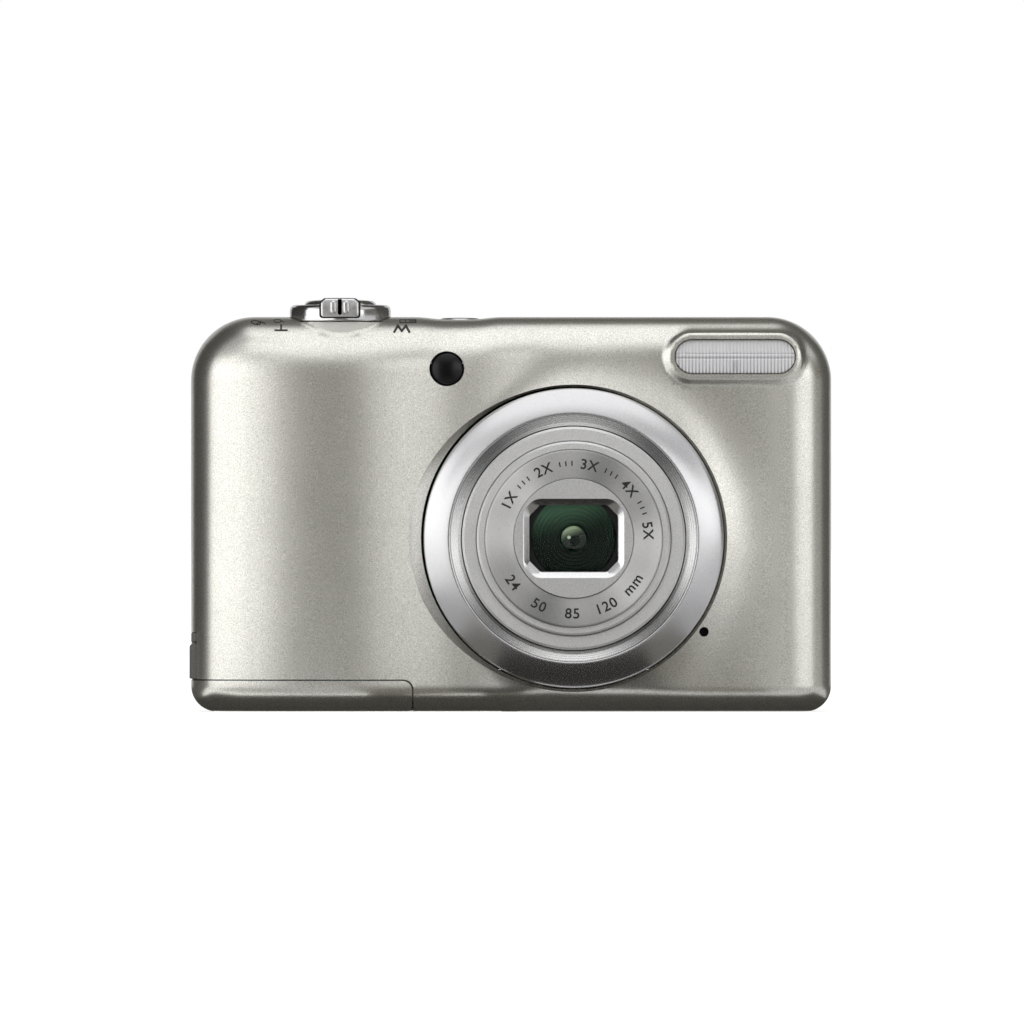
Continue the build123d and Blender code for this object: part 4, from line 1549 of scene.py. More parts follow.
def bent_words(
    name: str,
    text: str,
    centre: Point2,
    radius: float,
    angle: float,
    over: bool,
    cap_height: float,
    face: float,
) -> Object:
    """Printed words that follow a circle, as a thin solid.

    Args:
        name: The piece's name.
        text: The words.
        centre: The circle's x and z.
        radius: The radius at the letters' middle.
        angle: The words' middle, counter-clockwise from the right.
        over: Whether the letters' tops point outwards.
        cap_height: The height of a capital.
        face: The y of the printed face.

    Returns:
        The object.
    """
    curve = bpy.data.curves.new(name, "FONT")
    curve.body = text
    curve.align_x = "CENTER"
    curve.size = cap_height / CAP_SHARE
    curve.space_character = 1.12
    curve.resolution_u = 4
    curve.offset = 0.035
    curve.extrude = 0.012
    holder = placed(name, curve)
    graph = bpy.context.evaluated_depsgraph_get()
    mesh = bpy.data.meshes.new_from_object(holder.evaluated_get(graph))
    bpy.data.objects.remove(holder)
    bm = bmesh.new()
    bm.from_mesh(mesh)
    bmesh.ops.subdivide_edges(bm, edges=[e for e in bm.edges if e.calc_length() > 0.5], cuts=2)
    sense = 1.0 if over else -1.0
    for vert in bm.verts:
        u, v, w = vert.co
        r = radius + sense * (v - cap_height / 2)
        turn = angle - sense * u / radius
        x, z = centre[0] + r * math.cos(turn), centre[1] + r * math.sin(turn)
        vert.co = Vector((x, face - 0.006 - w, z)) * MM
    bm.to_mesh(mesh)
    bm.free()
    weld(mesh, 1e-7)
    return placed(name, mesh)


@dataclass
class TopControls:
    """The pedestal, the zoom lever, the shutter button and the power button."""

    form: OuterForm
    finishes: Finishes
    tab_half: float = 2.9
    tab_root: float = 5.7
    tab_reach: float = 8.75
    ridge_offset: float = 0.98
    print_proud: float = 0.018
    print_sunk: float = 0.05

    @property
    def dial(self) -> Point2:
        """The lever's and the shutter button's common axis."""
        return self.form.dial

    def tab_outline(self, half: float, low: float, bend: float, high: float, cut: float) -> list[Point2]:
        """The finger tab's outline from the front, with cut upper corners.

        Args:
            half: Half its width.
            low: The z of its lower side.
            bend: The z where its sides end.
            high: The z of its top.
            cut: How much narrower its top is on each side.

        Returns:
            The loop.
        """
        x = self.dial[0]
        right = [(x + half, low), (x + half, bend), (x + half - cut, high)]
        left = [(x - half + cut, high), (x - half, bend)]
        return softened([(x - half, low), *right, *left], 0.6, 6)

    def lever(self) -> None:
        """The lever ring with its finger tab, and a black plate behind the tab that paints the shade in the
        groove round it.
        """
        ring = [
            (2.6, 56.6), (3.1, 56.6), (3.1, 58.72), (7.45, 58.72), (7.6, 58.9), (7.6, 60.35), (7.5, 60.8),
            (7.2, 61.1), (6.8, 61.2), (5.9, 61.2), (5.62, 61.0), (5.62, 59.0), (2.6, 59.0),
        ]
        made = lathe_up("lever_ring", self.dial, softened(ring, 0.2, 2), 160)
        x, y = self.dial
        root = y - self.tab_root
        body = self.tab_outline(self.tab_half, 59.35, 61.5, 62.12, 0.7)
        tab = tablet("lever_tab", body, root, y - self.tab_reach, 0.3)
        carve(tab, [tablet("slot", stadium_up((x, 60.9), 2.5, 0.62), y - 8.2, y - 9.4, 0.05)])
        for side in (-1, 1):
            middle = (x + side * self.ridge_offset, 60.85)
            ridge = tablet("ridge", stadium_up(middle, 2.0, 0.98), y - 8.3, y - 8.9, 0.28)
            notch = tablet("notch", stadium_up(middle, 0.95, 0.26), y - 8.6, y - 9.4, 0.02)
            tab = merged("lever_tab", [tab, carve(ridge, [notch])])
        for step in range(3):
            bar = stadium((x, y - 7.7 + 0.75 * step), 3.2 + 0.5 * step, 0.34)
            tab = merged("lever_tab", [tab, tablet("rib", bar, 61.9, 62.2, 0.12, Facing.UP)])
        tab.name = "zoom_lever_tab"
        # Painted shade: the groove round the tab comes from its rounded rim, and its darkness comes from a
        # black plate a little larger than the tab set behind it.
        groove = self.tab_outline(self.tab_half + 0.2, 59.15, 61.6, 62.18, 0.75)
        painted_groove_shade = tablet("zoom_lever_shade_plate", groove, root, y - 8.2, 0.2)
        made.name = "zoom_lever_ring"
        for part, finish in ((made, "plated_key"), (tab, "satin_key"), (painted_groove_shade, "frame_black")):
            crisp(part.data)
            dress(part, "lever", "plated_key", self.finishes[finish], "zoom_lever")

    def pedestal(self) -> None:
        """The low collar under the lever, a thin sleeve that shows as a crescent on the shoulder."""
        r = self.form.dial_radius
        sleeve = [(r - 0.5, 56.0), (r + 0.06, 56.0), (r + 0.06, 58.45), (r, 58.58), (r - 0.5, 58.58)]
        made = lathe_up("dial_pedestal", self.dial, sleeve, 160)
        dress(made, "camera_body", "shell_silver", self.finishes["pedestal_silver"])

    def shutter(self) -> None:
        """The domed shutter button."""
        dome = [(r, 62.1 - 0.012 * r * r) for r in np.linspace(0, 4.9, 12)]
        profile = [*dome, (5.25, 61.55), (5.45, 61.15), (5.45, 59.95), (2.5, 59.95), (2.5, 57.0), (0, 57.0)]
        made = lathe_up("shutter_cap", self.dial, profile, 128)
        dress(made, "shutter_key", "plated_key", self.finishes["plated_key"], "shutter_button")

    def power_key(self) -> None:
        """The flush power button with its dished top."""
        top = [(r, 59.36 - 0.014 * r * r) for r in np.linspace(0, 2.6, 9)]
        profile = [
            *top, (2.85, 59.22), (3.03, 59.08), (3.1, 58.9), (3.1, 57.2), (3.8, 57.2), (3.8, 56.4),
            (0, 56.4),
        ]
        made = lathe_up("power_cap", POWER_KEY, profile, 96)
        dress(made, "power_key", "plated_key", self.finishes["plated_key"], "power_button")

    def marks(self) -> None:
        """The printed marks beside the lever, which are read from behind."""
        ink = self.finishes["grey_print"]
        ring = [(math.cos(t), math.sin(t)) for t in np.linspace(0, 2 * math.pi, 11)]
        loop = [(0.55 * a, 0.26 * b) for a, b in ring]
        swirl = [(0.36 + 0.72 * a, 0.30 * b - 0.10 * a) for a, b in ring]
        marks = {
            "mark_tele": (
                (-34.55, 57.72), 0.28, [[(-0.85, 0.36), (0.85, 0.36)], [(0.0, 0.36), (0.0, -0.40)]],
            ),
            "mark_wide": (
                (-16.4, 57.6), 0.34,
                [[(-1.12, 0.48), (-0.60, -0.46), (0.0, 0.34), (0.60, -0.46), (1.12, 0.48)]],
            ),
            "mark_near": ((-35.1, 58.78), 0.12, [loop, [(-0.5, 0.0), (-0.95, 0.12)]]),
            "mark_help": ((-38.0, 58.55), 0.15, [swirl, [(0.2, 0.2), (-0.25, -0.14), (-1.05, 0.16)]]),
            "mark_many": ((-15.5, 58.76), 0.14, [
                [(-1.2, 0.24), (1.2, 0.24), (1.2, -0.22), (-1.2, -0.22), (-1.2, 0.24)],
                [(0.35, 0.24), (0.35, -0.22)], [(-0.3, 0.0), (-1.2, 0.0)],
            ]),
        }
        for name, ((x, z), thick, paths) in marks.items():
            pairs = [(a, b) for path in paths for a, b in zip(path, path[1:])]
            bars = [self.stroke((x - a[0], z - a[1]), (x - b[0], z - b[1]), thick) for a, b in pairs]
            dress(merged(name, bars), "camera_body", "shell_silver", ink)

    def stroke(self, start: Point2, end: Point2, width: float) -> Object:
        """One printed stroke that lies on the shoulder.

        Args:
            start: Its first end, as x and z.
            end: Its last end.
            width: Its width.

        Returns:
            The stroke, as a thin solid.
        """
        a, b = np.array(start), np.array(end)
        along = (b - a) / np.linalg.norm(b - a)
        across = np.array((-along[1], along[0])) * width / 2
        steps = 5
        spots = [a - along * width / 2 + (b - a + along * width) * k / steps for k in range(steps + 1)]
        loop = np.array([s + across for s in spots] + [s - across for s in reversed(spots)])
        depth = self.form.depth(loop[:, 0], loop[:, 1])
        levels = -self.print_proud, self.print_sunk
        points = [(x, y + level, z) for level in levels for (x, z), y in zip(loop, depth)]
        n = len(loop)
        faces: list[Sequence[int]] = []
        for k in range(steps):
            i, j = k, n - 1 - k
            faces.append((i, i + 1, j - 1, j))
            faces.append((n + i, n + j, n + j - 1, n + i + 1))
        faces += [(i, (i + 1) % n, n + (i + 1) % n, n + i) for i in range(n)]
        return piece("stroke", points, faces)

    def build(self) -> None:
        """Builds the top controls."""
        self.lever()
        self.pedestal()
        self.shutter()
        self.power_key()
        self.marks()


@dataclass
class FlashWindow:
    """The ribbed flash diffuser and the timer lamp's dome."""

    centre: Point2
    finishes: Finishes
    length: float = 18.0
    height: float = 5.08
    face: float = -6.85
    rib_pitch: float = 18.0 / 35
    rib_depth: float = 0.06
    lean: float = 0.20
    grooves: Point2 = (0.40, -0.28)
    groove_size: float = 0.12
    rim: float = 0.25
    back: float = -4.9

    def relief(self, x: np.ndarray, z: np.ndarray) -> np.ndarray:
        """How far the diffuser's face stands back, from its ribs and two cross grooves.

        Args:
            x: The distance right of its middle.
            z: The distance above its middle.

        Returns:
            The depth of the relief.
        """
        upright = self.rib_depth * np.sin(np.pi * x / self.rib_pitch) ** 2
        upright = upright * np.clip((np.abs(x) - 0.3) / 0.2, 0, 1)
        size = self.groove_size
        grooves = sum(size * np.exp(-(((z - level) / size) ** 2)) for level in self.grooves)
        ribs = upright * np.clip((np.abs(z + 0.1) - 0.05) / 0.5, 0.25, 1)
        return ribs + grooves + self.lean * np.maximum(z - self.grooves[0], 0)

    def diffuser(self) -> Object:
        """The clear plate with real ribs on its face.

        Returns:
            The plate.
        """
        half, r = self.length / 2, self.height / 2
        across = np.linspace(-half, half, round(self.length / self.rib_pitch) * 8 + 1)
        rows = np.linspace(-1, 1, 44)
        points, faces = [], []
        for x in across:
            inward = max(0.0, abs(x) - (half - r))
            reach = math.sqrt(max(r * r - inward * inward, 0.0004))
            for t in rows:
                z = t * reach
                edge = min(1.0, (1 - abs(t)) * reach / self.rim, (half - abs(x)) / self.rim)
                round_off = self.rim * (1 - math.sqrt(max(0.0, 1 - (1 - max(edge, 0.0)) ** 2)))
                y = self.face + round_off + float(self.relief(np.array(x), np.array(z)))
                points.append((self.centre[0] + x, y, self.centre[1] + z))
        n, m = len(across), len(rows)
        points += [(px, self.back, pz) for px, _, pz in points]
        back = n * m
        for i in range(n - 1):
            for j in range(m - 1):
                k = i * m + j
                faces.append((k, k + m, k + m + 1, k + 1))
                faces.append((back + k, back + k + 1, back + k + m + 1, back + k + m))
            for j in (0, m - 1):
                k = i * m + j
                faces.append((k, k + m, back + k + m, back + k))
        for i in (0, n - 1):
            for j in range(m - 1):
                k = i * m + j
                faces.append((k, k + 1, back + k + 1, back + k))
        return piece("flash_diffuser", points, faces, 50)

    def build(self) -> None:
        """Builds the flash window and the lamp's dome."""
        dress(self.diffuser(), "camera_body", "clear_window", self.finishes["clear_window"], "flash_window")
        dome = [(r, -8.62 + 0.30 * (r / 2.3) ** 2) for r in np.linspace(0, 2.2, 12)]
        profile = [*dome, (2.38, -8.2), (2.45, -8.05), (2.45, -4.0), (0, -4.0)]
        lamp = lathe("timer_lamp_dome", TIMER_LAMP, profile, 96)
        dress(lamp, "camera_body", "lamp_black", self.finishes["lamp_black"], "timer_lamp")


@dataclass(frozen=True)
class RearKey:
    """One round key on the back: its solid, its body, its place, size and printed mark."""

    node: str
    body: str
    centre: Point2
    radius: float
    mark: Sequence[Outline]


def ring_path(centre: Point2, radius: float, steps: int = 12, turn: float = 1.0) -> list[Point2]:
    """Points round a share of a circle, from its top, for a printed mark."""
    angles = np.linspace(0, 2 * math.pi * turn, steps + 1) + math.pi / 2
    return [(centre[0] + radius * math.cos(t), centre[1] + radius * math.sin(t)) for t in angles]


@dataclass
class RearFace:
    """The screen, the keys with their marks, the selector, the signal lamp and the thumb rest."""

    finishes: Finishes
    screen: Point2 = SCREEN
    pad: Point2 = SELECTOR
    pad_radius: float = 8.2
    pad_bore: float = 2.9
    key_face: float = 14.42
    pad_face: float = 14.3
    print_width: float = 0.2
    print_levels: Point2 = (-0.08, 0.012)
    pad_marks_drop: float = 0.175
    rest_dots: Outline = ((-32.6, 44.0), (-30.0, 44.0), (-27.4, 44.0))
    keys: Sequence[RearKey] = (
        RearKey("mode_button", "mode_key", MODE_KEY, 2.4, (
            (
                (-1.1, -0.7), (1.1, -0.7), (1.1, 0.6), (0.5, 0.6), (0.3, 0.9), (-0.3, 0.9), (-0.5, 0.6),
                (-1.1, 0.6), (-1.1, -0.7),
            ),
            ring_path((0.0, -0.05), 0.38),
        )),
        RearKey("playback_button", "playback_key", PLAYBACK_KEY, 2.4, (
            ((-1.1, -0.8), (1.1, -0.8), (1.1, 0.8), (-1.1, 0.8), (-1.1, -0.8)),
            ((-0.4, -0.45), (0.5, 0.0), (-0.4, 0.45), (-0.4, -0.45)),
        )),
        RearKey("menu_button", "menu_key", MENU_KEY, 2.4, (
            ((-1.0, 0.65), (1.0, 0.65)), ((-1.0, 0.0), (1.0, 0.0)), ((-1.0, -0.65), (1.0, -0.65)),
        )),
        RearKey("delete_button", "delete_key", DELETE_KEY, 2.4, (
            ((-0.65, 0.5), (-0.5, -0.95), (0.5, -0.95), (0.65, 0.5)), ((-0.95, 0.5), (0.95, 0.5)),
            ((-0.3, 0.85), (0.3, 0.85)), ((-0.18, 0.2), (-0.14, -0.6)), ((0.18, 0.2), (0.14, -0.6)),
        )),
        RearKey("ok_button", "ok_key", SELECTOR, 2.6, (ring_path((0.0, 0.0), 0.9, 20),)),
    )

    def cap(self, node: str, body: str, centre: Point2, radius: float) -> None:
        """A domed round key.

        Args:
            node: The solid it stands for.
            body: The body it rides on.
            centre: Its x and z.
            radius: Its radius.
        """
        top = self.key_face
        profile = [
            (0.0, 11.5), (radius + 0.7, 11.5), (radius + 0.7, 12.1), (radius, 12.1), (radius, top - 0.42),
            (radius - 0.06, top - 0.24), (radius - 0.20, top - 0.11), (radius - 0.45, top - 0.05),
            (radius * 0.5, top - 0.01), (0.0, top),
        ]
        made = lathe(node + "_cap", centre, profile, 96)
        dress(made, body, "rear_key", self.finishes["rear_key"], node)

    def printed(
        self, name: str, body: str, centre: Point2, level: float, paths: Sequence[Outline]
    ) -> None:
        """A mark made of printed strokes on a face that looks backwards.

        Args:
            name: The piece's name.
            body: The body it rides on.
            centre: The x and z of its middle.
            level: The y of the printed face.
            paths: Its strokes, with x to the right of someone behind the camera.
        """
        bars = []
        for path in paths:
            for a, b in zip(path, path[1:]):
                start = np.array((centre[0] - a[0], centre[1] + a[1]))
                end = np.array((centre[0] - b[0], centre[1] + b[1]))
                along = (end - start) / np.linalg.norm(end - start) * self.print_width / 2
                side = np.array((-along[1], along[0]))
                loop = [start - along + side, end + along + side, end + along - side, start - along - side]
                rings = [[(x, level + rise, z) for x, z in loop] for rise in self.print_levels]
                bars.append(stack("bar", rings))
        dress(merged(name, bars), body, "rear_key", self.finishes["grey_print"])

    def selector(self) -> None:
        """The dished tilting ring with its four marks."""
        r, bore_radius, top = self.pad_radius, self.pad_bore, self.pad_face
        profile = [
            (bore_radius, 12.6), (r, 12.6), (r, top - 0.5), (r - 0.08, top - 0.24), (r - 0.26, top - 0.08),
            (r - 0.55, top - 0.02), (r - 0.9, top - 0.05), (r - 1.6, top - 0.18), (5.0, top - 0.24),
            (3.7, top - 0.14), (3.35, top - 0.1), (bore_radius + 0.12, top - 0.2),
            (bore_radius, top - 0.35),
        ]
        made = lathe("selector_dish", self.pad, profile, 160)
        dress(made, "selector", "rear_key", self.finishes["rear_key"], "selector_ring")
        marks = {
            "mark_flash": ((0.0, 5.9), (((0.35, 0.85), (-0.35, 0.0), (0.3, 0.0), (-0.3, -0.85)),)),
            "mark_timer": (
                (-5.9, 0.0), (ring_path((0.0, 0.0), 0.75, 12, 0.86), ((0.0, 0.0), (0.42, 0.42))),
            ),
            "mark_close": (
                (0.0, -5.9),
                (
                    ring_path((0.0, 0.35), 0.42, 8), ((0.0, -0.1), (0.0, -0.9)),
                    ((-0.5, -0.4), (0.0, -0.75), (0.5, -0.4)),
                ),
            ),
            "mark_level": (
                (5.9, 0.0),
                (
                    ((-0.8, -0.65), (0.8, 0.65)), ((-0.75, 0.45), (-0.15, 0.45)),
                    ((-0.45, 0.75), (-0.45, 0.15)), ((0.2, -0.45), (0.8, -0.45)),
                ),
            ),
        }
        for name, ((right, up), paths) in marks.items():
            spot = (self.pad[0] - right, self.pad[1] + up)
            self.printed(name, "selector", spot, top - self.pad_marks_drop, paths)

    def display(self) -> None:
        """The glossy cover of the screen and the slightly paler picture area on it."""
        cover = tablet("screen_cover", rectangle(self.screen, 60.9, 46.3, 0.35), 12.4, 13.95, 0.15)
        dress(cover, "camera_body", "screen_glass", self.finishes["screen_glass"], "lcd_window")
        picture = rectangle((self.screen[0], self.screen[1] + 0.4), 54.8, 41.2, 0.3)
        area = tablet("screen_area", picture, 13.90, 13.962, 0.006)
        dress(area, "camera_body", "screen_glass", self.finishes["screen_area"])

    def build(self) -> None:
        """Builds every piece of the back."""
        self.display()
        for key in self.keys:
            self.cap(key.node, key.body, key.centre, key.radius)
            self.printed("mark_" + key.body, key.body, key.centre, self.key_face, key.mark)
        self.cap("movie_button", "movie_key", MOVIE_KEY, 2.9)
        spot = [(0.0, 14.36), (0.75, 14.36), (0.75, 14.43), (0.6, 14.44), (0.0, 14.445)]
        dot = lathe("mark_movie_key", MOVIE_KEY, spot, 48)
        dress(dot, "movie_key", "rear_key", self.finishes["record_red"])
        self.selector()
        lens = [(0.0, 11.9), (0.93, 11.9), (0.93, 13.9), (0.8, 14.0), (0.45, 14.05), (0.0, 14.06)]
        signal = lathe("signal_lamp_lens", SIGNAL_LAMP, lens, 48)
        dress(signal, "camera_body", "clear_window", self.finishes["signal_green"], "signal_lamp")
        dome = [(0.7 * math.cos(t), 13.98 + 0.32 * math.sin(t)) for t in np.linspace(0, math.pi / 2, 8)]
        profile = [(0.0, 13.5), (0.7, 13.5), *dome]
        dots = [lathe("dot", place, profile, 40) for place in self.rest_dots]
        dress(merged("thumb_rest_dots", dots), "camera_body", "shell_silver", self.finishes["shell_silver"])


@dataclass
class SideCovers:
    """The rubber covers of the two sockets."""

    finish: Material
    port_y: Point2 = (2.25, 8.1)
    port_z: Point2 = (20.55, 33.45)
    pivot_radius: float = 0.7
    outer: float = 48.2
    inner: float = 46.8

    def port_cover(self) -> None:
        """The tall cover, with a rolled rear edge, a moulded groove and a thumbnail notch."""
        r, (near, far) = self.pivot_radius, self.port_y
        middle = self.outer - r
        turns = np.linspace(0, math.pi, 13)
        roll = [(middle + r * math.cos(t), far + r * math.sin(t)) for t in turns]
        plan = [(self.inner, near), (self.outer - 0.12, near), (self.outer, near + 0.12), *roll]
        cover = tablet("socket_cover", plan, *self.port_z, 0.05, Facing.UP, both=True)
        centre = (5.1, sum(self.port_z) / 2)
        rim = [rectangle(centre, 4.6 - 2 * g, 11.4 - 2 * g, 0.5 - g / 2) for g in (0.0, 0.3)]
        levels = ((0, self.outer + 1), (1, self.outer + 1), (1, self.outer - 0.14), (0, self.outer - 0.14))
        groove = stack("groove", [[(x, y, z) for y, z in rim[k]] for k, x in levels], frame_like=True)
        notch = bore("notch", (0.0, 0.0), 1.4, (-0.5, 0.5), 40)
        notch.data.transform(Matrix.Translation(Vector((self.outer + 1.0, near, centre[1])) * MM))
        carve(cover, [groove, notch])
        crisp(cover.data)
        dress(cover, "usb_flap", "rubber_grey", self.finish, "usb_cover")

    def flap_web(self) -> None:
        """The fixed strip of rubber that the small flap hangs from."""
        web = tablet("flap_web", rectangle((0.2, 11.18), 8.1, 1.4, 0.3), -46.9, -48.12, 0.15, Facing.SIDE)
        dress(web, "camera_body", "rubber_grey", self.finish)

    def build(self) -> None:
        """Builds both."""
        self.port_cover()
        self.flap_web()


@dataclass
class Studio:
    """The floor, the backdrop light, the lamps, the cards and the camera, in metres."""

    distance: float = 3.0
    span: float = 0.15424
    sensor: float = 36.0
    aim: Point3 = (0.00015, 0.0, 0.03005)
    fill: float = 0.42
    fill_tint: Colour = (1.0, 0.99, 0.97)
    lamp_tint: Colour = (1.0, 0.995, 0.98)
    floor_side: float = 12.0
    floor_grey: Colour = (0.62, 0.62, 0.61)
    floor_glow: float = 0.76
    floor_fade: Point2 = (0.12, 0.8)
    foot_level: float = 0.00012
    foot_margin: float = 0.0025
    foot_shade: float = 0.05
    dark_card: float = 0.3
    dark_tint: Colour = (1.0, 0.95, 0.84)

    def camera(self) -> None:
        """A long lens straight in front, so the object fills the frame."""
        data = bpy.data.cameras.new("studio_camera")
        data.sensor_width = self.sensor
        data.lens = self.sensor * self.distance / self.span
        data.clip_start, data.clip_end = 0.05, 30.0
        obj = placed("studio_camera", data)
        obj.location = (self.aim[0], self.aim[1] - self.distance, self.aim[2])
        obj.rotation_euler = (math.radians(90), 0, 0)
        bpy.context.scene.camera = obj

    def world(self) -> None:
        """White to look at, and a low even fill for everything else."""
        world = bpy.data.worlds.new("studio_world")
        bpy.context.scene.world = world
        graph = Graph(world, "ShaderNodeOutputWorld")
        fill = graph.node("ShaderNodeBackground", (*self.fill_tint, 1.0), self.fill)
        white = graph.node("ShaderNodeBackground", (1, 1, 1, 1), 1.0)
        sources = graph.seen_directly(), fill.outputs[0], white.outputs[0]
        graph.finish(graph.node("ShaderNodeMixShader", *sources))

    def floor(self) -> None:
        """A wide pale floor that keeps the object's shadow."""
        side = self.floor_side
        mesh = bpy.data.meshes.new("studio_floor")
        corners = [(-side, -side, 0), (side, -side, 0), (side, side, 0), (-side, side, 0)]
        mesh.from_pydata(corners, [], [(0, 1, 2, 3)])
        obj = placed("studio_floor", mesh)
        material = bpy.data.materials.new("pale_floor")
        graph = Graph(material, "ShaderNodeOutputMaterial")
        place = graph.node("ShaderNodeTexCoord").outputs["Object"]
        length = graph.node("ShaderNodeVectorMath", place, operation="LENGTH").outputs["Value"]
        fade = graph.spread(length, self.floor_fade, (self.floor_glow, 1.0))
        strength = graph.math("MULTIPLY", graph.seen_directly(), fade)
        matt = graph.node("ShaderNodeBsdfDiffuse", (*self.floor_grey, 1.0))
        glow = graph.node("ShaderNodeEmission", (1, 1, 1, 1), strength)
        graph.finish(graph.node("ShaderNodeAddShader", matt.outputs[0], glow.outputs[0]))
        mesh.materials.append(material)

    def toward(self, azimuth: float, elevation: float) -> Vector:
        """The direction at an azimuth from straight in front and a height above the floor."""
        a, e = math.radians(azimuth), math.radians(elevation)
        return Vector((math.sin(a) * math.cos(e), -math.cos(a) * math.cos(e), math.sin(e)))

    def lamp(
        self, name: str, azimuth: Point2, elevation: Point2, radiance: float, radius: float = 1.5
    ) -> None:
        """One soft panel that faces the object.

        Args:
            name: Its name.
            azimuth: Its first and last azimuth in degrees.
            elevation: Its lowest and highest elevation in degrees.
            radiance: How bright its face looks.
            radius: Its distance in metres.
        """
        data = bpy.data.lights.new(name, "AREA")
        data.shape = "RECTANGLE"
        middle = sum(azimuth) / 2, sum(elevation) / 2
        wide, tall = (2 * radius * math.tan(math.radians(a[1] - a[0]) / 2) for a in (azimuth, elevation))
        data.size, data.size_y = wide * math.cos(math.radians(middle[1])), tall
        data.energy = radiance * math.pi * data.size * data.size_y
        data.color = self.lamp_tint
        obj = placed(name, data)
        toward = self.toward(*middle)
        obj.location = Vector((0, 0, self.aim[2])) + toward * radius
        obj.rotation_euler = toward.to_track_quat("Z", "Y").to_euler()
        obj.visible_camera = False

    def card(
        self, name: str, points: Sequence[Point3], faces: Sequence[Sequence[int]], shade: float
    ) -> None:
        """A grey card, seen only in reflections.

        Args:
            name: Its name.
            points: Its corners in metres.
            faces: Its faces.
            shade: How bright it looks.
        """
        mesh = bpy.data.meshes.new(name)
        mesh.from_pydata([tuple(p) for p in points], [], [tuple(f) for f in faces])
        obj = placed(name, mesh)
        material = bpy.data.materials.new(name)
        graph = Graph(material, "ShaderNodeOutputMaterial")
        tint = self.dark_tint if shade < self.dark_card else (1.0, 1.0, 1.0)
        graph.finish(graph.node("ShaderNodeEmission", (*tint, 1.0), shade))
        mesh.materials.append(material)
        for kind in ("camera", "diffuse", "shadow", "transmission"):
            setattr(obj, "visible_" + kind, False)

    def standing_card(
        self, name: str, azimuth: Point2, elevation: Point2, shade: float, radius: float = 1.3
    ) -> None:
        """A card bent round the object, above the floor.

        Args:
            name: Its name.
            azimuth: Its first and last azimuth in degrees.
            elevation: Its lowest and highest elevation in degrees.
            shade: How bright it looks.
            radius: Its distance in metres.
        """
        across, upward = np.linspace(*azimuth, 15), np.linspace(*elevation, 7)
        lift = Vector((0, 0, self.aim[2]))
        points = [tuple(lift + self.toward(a, e) * radius) for e in upward for a in across]
        n = len(across)
        cells = [(i * n + j, (i + 1) * n + j) for i in range(len(upward) - 1) for j in range(n - 1)]
        faces = [(low, low + 1, high + 1, high) for low, high in cells]
        self.card(name, points, faces, shade)

    def lying_card(
        self, name: str, azimuth: Point2, reach: Point2, shade: float, height: float = 0.00002
    ) -> None:
        """A sector-shaped card lying on the floor.

        Args:
            name: Its name.
            azimuth: Its first and last azimuth in degrees.
            reach: Its nearest and furthest distance from the object's middle.
            shade: How bright it looks.
            height: How far it lies above the floor.
        """
        across = [self.toward(a, 0.0) for a in np.linspace(*azimuth, 15)]
        points = [tuple(d * r + Vector((0, 0, height))) for r in reach for d in across]
        n = len(across)
        faces = [(j, j + 1, n + j + 1, n + j) for j in range(n - 1)]
        self.card(name, points, faces, shade)

    def foot_card(self) -> None:
        """A dark card under the object, a little larger than its base."""
        low, high = CAD_BOX
        margin = self.foot_margin
        plan = OuterForm().plan
        across = np.linspace(low[0] - margin, high[0] + margin, 25)
        level = self.foot_level
        front = [(x, float(plan(np.array([x / MM]))[0]) * MM - margin, level) for x in across]
        back = [(x, high[1] + margin, level) for x in across]
        n = len(across)
        faces = [(j, j + 1, n + j + 1, n + j) for j in range(n - 1)]
        self.card("foot_card", front + back, faces, self.foot_shade)

    def near_card(
        self, name: str, middle: float, halves: Point2, reach: Point2, height: float, shade: float
    ) -> None:
        """A card on the floor straight before the object.

        Args:
            name: Its name.
            middle: The x of its middle, in metres.
            halves: Half its width at the near side and at the far side.
            reach: How far in front of the object's middle it starts and ends.
            height: How far it lies above the floor.
            shade: How bright it looks.
        """
        rows = [(side * half, -depth, height) for half, depth in zip(halves, reach) for side in (-1, 1)]
        self.card(name, [(middle + x, y, z) for x, y, z in rows], [(0, 1, 3, 2)], shade)

    def build(self) -> None:
        """Sets up the whole studio."""
        self.world()
        self.floor()
        self.lamp("left_panel", (-86, -17), (0, 26), 0.60)
        self.lamp("right_panel", (12, 55), (0, 16), 0.62)
        self.lamp("top_panel", (-44, 44), (24, 88), 0.44)
        cards = (
            ("centre_card", (-17, 12), (-1.2, 15), 0.15),
            ("centre_upper_card", (-14, 12), (15, 21), 0.58),
            ("centre_high_card", (-12, 12), (21, 30), 0.98),
            ("left_high_card", (-40, -14), (15, 30), 0.62),
            ("right_middle_card", (12, 44), (16, 24), 0.30),
            ("right_high_card", (14, 50), (24, 33), 0.55),
            ("top_back_card", (-46, 46), (30, 89), 0.80, 1.8),
            ("right_outer_card", (55, 93), (-1.2, 24), 0.15),
            ("left_side_card", (-150, -84), (-1.2, 66), 0.04),
            ("right_side_card", (93, 150), (-1.2, 66), 0.08),
            ("rear_low_card", (150, 210), (-1.2, 26), 0.62),
            ("rear_high_card", (150, 210), (26, 75), 0.10),
            ("left_upper_card", (-88, -44), (26, 66), 0.45),
            ("right_upper_card", (44, 93), (24, 66), 0.62),
        )
        for row in cards:
            self.standing_card(*row)
        self.lying_card("centre_floor_card", (-17, 12), (0.0, 1.6), 0.15, 0.00004)
        self.lying_card("right_floor_card", (12, 93), (0.0, 1.6), 0.62)
        self.lying_card("left_side_floor_card", (-150, -88), (0.0, 1.6), 0.08)
        self.lying_card("right_side_floor_card", (93, 150), (0.0, 1.6), 0.10)
        self.foot_card()
        self.near_card("near_floor_card", 0.0, (0.064, 0.064), (0.014, 0.150), 0.00006, 0.44)
